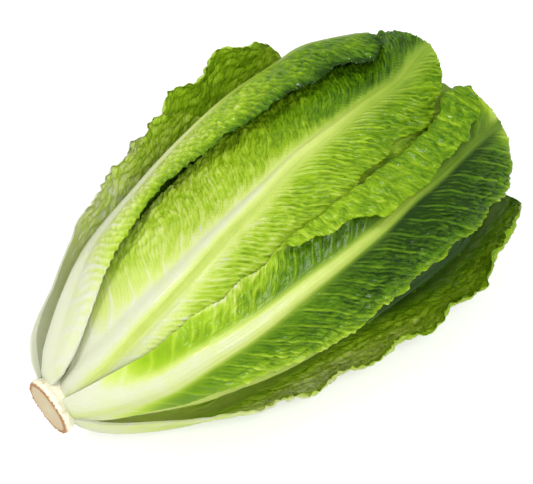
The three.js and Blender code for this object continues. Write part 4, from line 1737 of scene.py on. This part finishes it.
def outer_leaves() -> list[LeafForm]:
    """Describe the outer leaves.

    Returns:
        The leaves at the back left, left, low right and underneath.
    """
    back_left = LeafForm(
        name="leaf_back_left", start=4, end=234, tip=0.86, tones=BACK_LEFT,
        angle=[(4, -146), (60, -138), (110, -131), (160, -125), (234, -113)],
        inset=[
            (4, 4.4), (8.5, 4.9), (12, 5.5), (20, 6.5), (43, 5.6), (60, -0.5), (76, -5.5),
            (110, -12), (150, -16), (190, -17), (234, -14),
        ],
        left_out=[(45, 0), (76, -4), (110, -8), (150, -9), (234, -10)],
        right_out=[(45, 0), (60, 6.5), (76, 10), (110, 13), (160, 13), (190, 13.5), (234, 10)],
        left=[*NARROW_ROOT, (40, 12), (60, 18), (110, 26), (160, 28), (220, 32)],
        right=[
            *NARROW_ROOT, (40, 13), (60, 20), (80, 32), (110, 46), (130, 52), (160, 65), (228, 76),
        ],
        waves=(0.5, 4, 34, 2), relief=PUFFED, columns=90, rows=170, seed=2,
    )
    outer_left = LeafForm(
        name="leaf_outer_left", start=4, end=178, tip=0.78, tones=SIDE_LEFT,
        angle=[(4, -102), (60, -99), (80, -106), (100, -116), (178, -120)],
        inset=[
            (4, 4.3), (8.5, -1), (12, -6), (16, -8), (20, -8.5), (30, -8), (43, -6.5), (60, -5),
            (76, -4.5), (100, -6), (140, -9), (178, -12),
        ],
        left_out=[(40, 0), (100, -4), (178, -5)],
        right_out=[(40, 0), (60, 4), (100, 10.5), (140, 12), (178, 12)],
        left=[*NARROW_ROOT, (50, 12), (70, 14), (90, 21), (130, 27), (178, 28)],
        right=[
            *NARROW_ROOT, (35, 16), (60, 31), (75, 38), (90, 44.5), (110, 48), (130, 54),
            (178, 60),
        ],
        waves=(1, 3, 36, 1), relief=PUFFED, columns=84, rows=150, seed=3,
    )
    outer_right = LeafForm(
        name="leaf_outer_right", start=4, end=284, tip=0.86, tones=LOW_RIGHT,
        angle=[(4, 115), (60, 126), (110, 138), (160, 142), (240, 134), (284, 124)],
        inset=[*OUTER_ROOT, (110, 4), (150, 2), (200, 0), (240, -2), (284, -3)],
        left_out=[(40, 0), (80, 2), (110, 5), (284, 5)],
        right_out=[(40, 0), (76, -2.5), (110, -5), (150, -6), (284, -6)],
        left=[*WIDE_ROOT, (50, 22), (80, 36), (110, 50), (150, 58), (284, 62)],
        right=[*WIDE_ROOT, (60, 18), (110, 34), (160, 44), (284, 48)],
        waves=(2.5, 0.5, 36, 0), lobes=(1.5, 31, 0), relief=PUFFED, columns=100, rows=210, seed=4,
    )
    underneath = LeafForm(
        name="leaf_underneath", start=4, end=236, tip=0.8, tones=LOW_RIGHT, rests=True,
        rib=PRESSED_RIB,
        angle=[(4, 170), (60, 176), (236, 182)],
        inset=[*OUTER_ROOT, (110, -1.6), (150, -2.6), (236, -0.5)],
        left=[*NARROW_ROOT, (40, 12), (60, 18), (110, 36), (160, 45), (236, 45)],
        right=[*NARROW_ROOT, (40, 12), (60, 18), (110, 38), (160, 50), (236, 50)],
        waves=(1, 1, 38, 0), columns=64, rows=120, seed=5,
    )
    return [back_left, outer_left, outer_right, underneath]


def front_leaves() -> list[LeafForm]:
    """Describe the two large leaves that wrap the front.

    Returns:
        The right one and the left one.
    """
    front_right = LeafForm(
        name="leaf_front_right", start=4, end=287, tip=0.92, tones=RIGHT,
        angle=[
            (4, 49), (30, 49), (52, 48.5), (75, 44), (111, 40.5), (137, 37.5),
            (164, 35.5), (191, 33.5), (221, 31), (253, 31), (291, 34),
        ],
        inset=[*OUTER_ROOT, (115, 4), (190, 3), (240, 2), (287, 0)],
        left=[
            (4, 5.6), (8.5, 5.8), (12, 7), (20, 10.5), (45, 16.5), (62, 19.2), (87, 22.5),
            (112, 24), (132, 25), (141, 29.5), (151, 38.5), (162, 41), (177, 42.5), (199, 50),
            (228, 45.5), (250, 46), (262, 57), (272, 60), (287, 55),
        ],
        right=[
            *WIDE_ROOT, (45, 16.5), (69, 22.5), (90, 28.5), (108, 33), (132, 41.5), (146, 44),
            (160, 43.5), (173, 42), (199, 41), (219, 40), (232, 41.5), (250, 41), (287, 40),
        ],
        waves=(1, 1, 30, 0.5), lobes=(1, 27, 0), rib_breadth=0.8, columns=130, rows=330, seed=6,
        roll=Roll(
            start=Curve(
                [(0, 40), (100, 33), (125, 25.5), (141, 21.5), (153, 22.5), (199, 21), (219, 18.5)]
                + [(240, 19), (255, 21), (268, 27.5), (280, 23.5), (287, 18)]
            ),
            radius=4.5,
            angle=Curve([(0, 165), (270, 165), (287, 145)]),
        ),
        relief=Relief(
            pleat=0.3, vein=0.6, blister=1.5, ruffle=0.9, scallop=0.3, spacing=12.5,
            slant=(0.5, 0.75),
        ),
    )
    front_left = LeafForm(
        name="leaf_front_left", start=4, end=268, tip=0.86, tones=LEFT,
        angle=[
            (4, -50), (25, -54), (44, -62), (76, -73), (120, -76), (200, -74), (240, -66),
            (268, -60),
        ],
        inset=[
            (4, 4.4), (8.5, 4.9), (12, 5.4), (20, 6), (43, 5.3), (60, 4.6), (100, 3.5),
            (130, 0.5), (160, -2.5), (190, -4.5), (215, -5.5), (240, -9), (268, -10),
        ],
        left=[(4, 5.6), (8.5, 5.8), (12, 7), (20, 11), (60, 16), (110, 34), (160, 44), (250, 46)],
        right=[
            (4, 6), (8.5, 6.8), (12, 10), (18, 18), (31, 26), (47, 32), (66, 38), (80, 40.5),
            (98, 38.5), (118, 41), (129, 44.5), (139, 47.5), (155, 55), (179, 60), (195, 63),
            (221, 58), (241, 60), (268, 60),
        ],
        waves=(0.5, 1.2, 40, 1.5), lobes=(1, 31, 0), columns=110, rows=290, seed=7,
        relief=Relief(
            pleat=1.0, margin_pleat=1.0, calm=7, pleated=(24, 76), crinkle=0.4, vein=0.25,
            blister=1.2, ruffle=1.1, scallop=0.8, spacing=12, pleats=(3, 3), slant=(0.3, 0.3),
        ),
    )
    return [front_right, front_left]


def middle_leaves() -> list[LeafForm]:
    """Describe the middle turn.

    Returns:
        The leaves at the right, front, back right, back left and left.
    """
    middle_right = LeafForm(
        name="leaf_middle_right", start=15.5, end=262, tip=0.8, tones=UNDER_RIGHT,
        angle=[(12, 74), (40, 74), (76, 76), (268, 76)],
        inset=[*MIDDLE_ROOT[1:], (115, 11), (190, 12), (268, 8)],
        left_out=[(76, 0), (130, 5), (268, 5)], right_out=[(76, 0), (130, -5), (268, -5)],
        left=[*MIDDLE_ROOT_WIDTH, (60, 14), (110, 36), (160, 48), (250, 48)],
        right=[
            *MIDDLE_ROOT_WIDTH, (45, 9), (76, 11), (110, 13), (140, 16), (180, 18), (268, 20),
        ],
        waves=(0.5, 2, 33, 0), columns=80, rows=180, seed=8,
    )
    front_middle = LeafForm(
        name="leaf_front_middle", start=5, end=281, tip=0.9, tones=MIDDLE,
        angle=[
            (5, 14), (19, 13), (35, 12), (63, 7), (92, 2), (122, -3), (152, -7),
            (183, -11), (211, -12), (250, -15), (277, -22),
        ],
        inset=[*MIDDLE_ROOT, (115, 11), (190, 8), (230, 4), (250, 0), (265, -7), (281, -14)],
        right_out=[(200, 0), (250, -8), (277, -14)],
        left=[
            *MIDDLE_ROOT_WIDTH, (35, 19), (48, 31), (60, 44), (80, 53),
            (110, 58), (150, 60), (240, 60), (277, 62),
        ],
        right=[
            *MIDDLE_ROOT_WIDTH, (45, 15), (75, 26), (110, 36), (165, 38), (181, 36), (191, 35),
            (199, 32), (208, 30), (219, 30), (226, 28), (241, 30), (250, 31), (262, 26), (281, 26),
        ],
        waves=(0.5, 1, 34, 0), lobes=(1, 31, 0), rib_breadth=0.85,
        rib=[
            (5, 4.4), (20, 4.9), (43, 5.6), (76, 5.4), (130, 4.8), (190, 3.4), (240, 2.2),
            (290, 1.2),
        ],
        columns=100, rows=490, seed=9,
        relief=Relief(
            pleat=0.75, vein=0.3, blister=1.1, crinkle=0.6, ruffle=0.9, spacing=13, pleats=(6, 4),
            slant=(0.35, 0.75),
        ),
    )
    middle_back_right = LeafForm(
        name="leaf_middle_back_right", start=15.5, end=232, tip=0.8, tones=PALE,
        angle=[(14, 137), (60, 156), (232, 166)],
        inset=[*MIDDLE_ROOT[1:], (85, 15.4), (115, 15.5), (190, 14), (232, 14)],
        left=[*MIDDLE_ROOT_WIDTH, (60, 16), (110, 34), (160, 40), (232, 44)],
        right=[*MIDDLE_ROOT_WIDTH, (60, 17), (110, 36), (160, 46), (232, 48)], seed=10,
    )
    middle_back_left = LeafForm(
        name="leaf_middle_back_left", start=15.5, end=240, tip=0.8, tones=PALE,
        angle=[(14, -154), (60, -145), (240, -138)],
        inset=[*MIDDLE_ROOT[1:4], (60, 13), (85, 12), (115, 11), (190, 9), (240, 10)],
        left=[*MIDDLE_ROOT_WIDTH, (60, 18), (110, 38), (160, 48), (240, 50)],
        right=[*MIDDLE_ROOT_WIDTH, (60, 17), (110, 38), (160, 48), (240, 50)], seed=11,
    )
    middle_left = LeafForm(
        name="leaf_middle_left", start=15.5, end=246, tip=0.8, tones=PALE,
        angle=[(14, -95), (60, -95), (246, -88)],
        inset=[*MIDDLE_ROOT[1:], (85, 15.4), (115, 15.5), (190, 13.5), (246, 11)],
        left=[*MIDDLE_ROOT_WIDTH, (60, 17), (110, 36), (160, 46), (246, 48)],
        right=[*MIDDLE_ROOT_WIDTH, (60, 17), (110, 36), (160, 46), (246, 48)], seed=12,
    )
    return [middle_right, front_middle, middle_back_right, middle_back_left, middle_left]


def inner_leaves() -> list[LeafForm]:
    """Describe the inner turn.

    Returns:
        The leaves at the front, left, right and back.
    """
    inner_front = LeafForm(
        name="leaf_inner_front", start=21, end=277, tip=0.8, tones=PALE,
        angle=[(20, 18), (60, 14), (200, 4), (277, 0)],
        inset=[*INNER_ROOT, (115, 18), (190, 16), (240, 12), (277, 8)],
        left=[*INNER_ROOT_WIDTH, (60, 18), (110, 30), (277, 34)],
        right=[*INNER_ROOT_WIDTH, (60, 18), (110, 30), (277, 34)], seed=13,
    )
    inner_left = replace(
        inner_front, name="leaf_inner_left", end=250, seed=14,
        angle=[(20, -72), (250, -68)], lobes=(2, 31, 1), waves=(0.5, 0.5, 36, 2),
        inset=[*INNER_ROOT, (115, 21.5), (190, 20), (250, 16)],
        left=[*INNER_ROOT_WIDTH, (60, 18), (110, 32), (180, 40)],
        right=[*INNER_ROOT_WIDTH, (60, 18), (110, 32), (180, 38)],
    )
    inner_right = replace(
        inner_left, name="leaf_inner_right", end=262, seed=15,
        angle=[(20, 108), (262, 98)], lobes=(2, 31, 2), waves=(0.5, 0.5, 36, 3),
        inset=[*INNER_ROOT, (115, 20.5), (190, 19.5), (262, 18)],
        right=[*INNER_ROOT_WIDTH, (60, 18), (110, 32), (180, 40)],
    )
    inner_back = replace(
        inner_right, name="leaf_inner_back", end=236, seed=16,
        angle=[(20, -162), (236, -172)], lobes=(2, 31, 3), waves=(0.5, 0.5, 36, 4),
        inset=[*INNER_ROOT, (115, 21), (190, 20), (236, 18)],
    )
    return [inner_front, inner_left, inner_right, inner_back]


@dataclass
class Foliage:
    """All the leaves of the head, with those of its heart.

    Attributes:
        finish: The finish of every leaf.
        heart: The heart.
    """

    finish: LeafFinish = LeafFinish()
    heart: Heart = field(default_factory=Heart)

    def build(self) -> None:
        """Make each leaf and the heart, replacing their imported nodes."""
        material = self.finish.make()
        turns = {
            Ring.OUTER: outer_leaves(), Ring.FRONT: front_leaves(),
            Ring.MIDDLE: middle_leaves(), Ring.INNER: inner_leaves(),
        }
        for ring, forms in turns.items():
            for form in forms:
                mesh = blade_mesh(f"{form.name}_dressed", form, form.columns, form.rows)
                stand_for(show(mesh, material), form.name)
        self.heart.build(material)


# ------------------------------------------------------------------ studio


@dataclass(frozen=True)
class Lamp:
    """A soft square light.

    Attributes:
        name: The light's name.
        place: Where it stands, seen from the head, in metres.
        size: Its width in metres.
        power: Its power in watts.
    """

    name: str
    place: tuple[float, float, float]
    size: float
    power: float


@dataclass
class Studio:
    """Plain floor, soft lights and the camera.

    Attributes:
        target: What the camera looks at, in metres.
        azimuth: Turn of the camera round the head, in degrees.
        elevation: Height of the camera over the surface, in degrees.
        distance: Distance from the target to the camera.
        lens: Focal length in millimetres.
        sensor: Width of the sensor in millimetres.
        floor_size: Width of the floor.
        lamps: The lights.
        surround: Strength of the white surround.
    """

    target: Vector = field(default_factory=lambda: Vector((0.0004, -0.0185, 0.0892)))
    azimuth: float = -37.0
    elevation: float = 65.0
    distance: float = 0.79
    lens: float = 100.0
    sensor: float = 36.0
    floor_size: float = 6.0
    lamps: tuple[Lamp, ...] = (
        Lamp("key_light", (-0.9, 1.15, 2.5), 0.3, 31.0),
        Lamp("front_light", (-0.35, -1.2, 2.6), 1.2, 64.0),
    )
    surround: float = 0.85

    def towards_camera(self) -> Vector:
        """Return the direction from the head to the camera."""
        a, e = math.radians(self.azimuth), math.radians(self.elevation)
        return Vector((math.sin(a) * math.cos(e), -math.cos(a) * math.cos(e), math.sin(e)))

    def camera(self) -> None:
        """Set up the camera."""
        data = bpy.data.cameras.new("camera")
        data.lens = self.lens
        data.sensor_width = self.sensor
        data.dof.use_dof = False
        camera = bpy.data.objects.new("camera", data)
        camera.location = self.target + self.towards_camera() * self.distance
        camera.rotation_euler = self.towards_camera().to_track_quat("Z", "Y").to_euler()
        bpy.context.scene.collection.objects.link(camera)
        bpy.context.scene.camera = camera

    def light(self, lamp: Lamp) -> None:
        """Add a soft light.

        Args:
            lamp: The light.
        """
        data = bpy.data.lights.new(lamp.name, "AREA")
        data.shape = "SQUARE"
        data.size = lamp.size
        data.energy = lamp.power
        light = bpy.data.objects.new(lamp.name, data)
        place = Vector(lamp.place)
        light.location = self.target + place
        light.rotation_euler = place.to_track_quat("Z", "Y").to_euler()
        bpy.context.scene.collection.objects.link(light)

    def world(self) -> None:
        """Set an even white surround."""
        world = bpy.data.worlds.new("surround")
        world.use_nodes = True
        background = world.node_tree.nodes["Background"]
        background.inputs["Color"].default_value = (1.0, 1.0, 1.0, 1.0)
        background.inputs["Strength"].default_value = self.surround
        bpy.context.scene.world = world

    def floor(self) -> None:
        """Lay the floor."""
        shape = bmesh.new()
        bmesh.ops.create_grid(shape, x_segments=2, y_segments=2, size=self.floor_size / 2)
        show(take_mesh(shape, "floor"), FloorFinish().make())

    def build(self) -> None:
        """Set up the whole studio."""
        self.camera()
        self.floor()
        for lamp in self.lamps:
            self.light(lamp)
        self.world()
        bpy.context.scene.view_settings.view_transform = "Standard"


def main() -> None:
    """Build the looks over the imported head."""
    logging.basicConfig(level=logging.INFO, format="%(message)s")
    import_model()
    Studio().build()
    Stem().build()
    Foliage().build()
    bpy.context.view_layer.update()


if __name__ == "__main__":
    main()
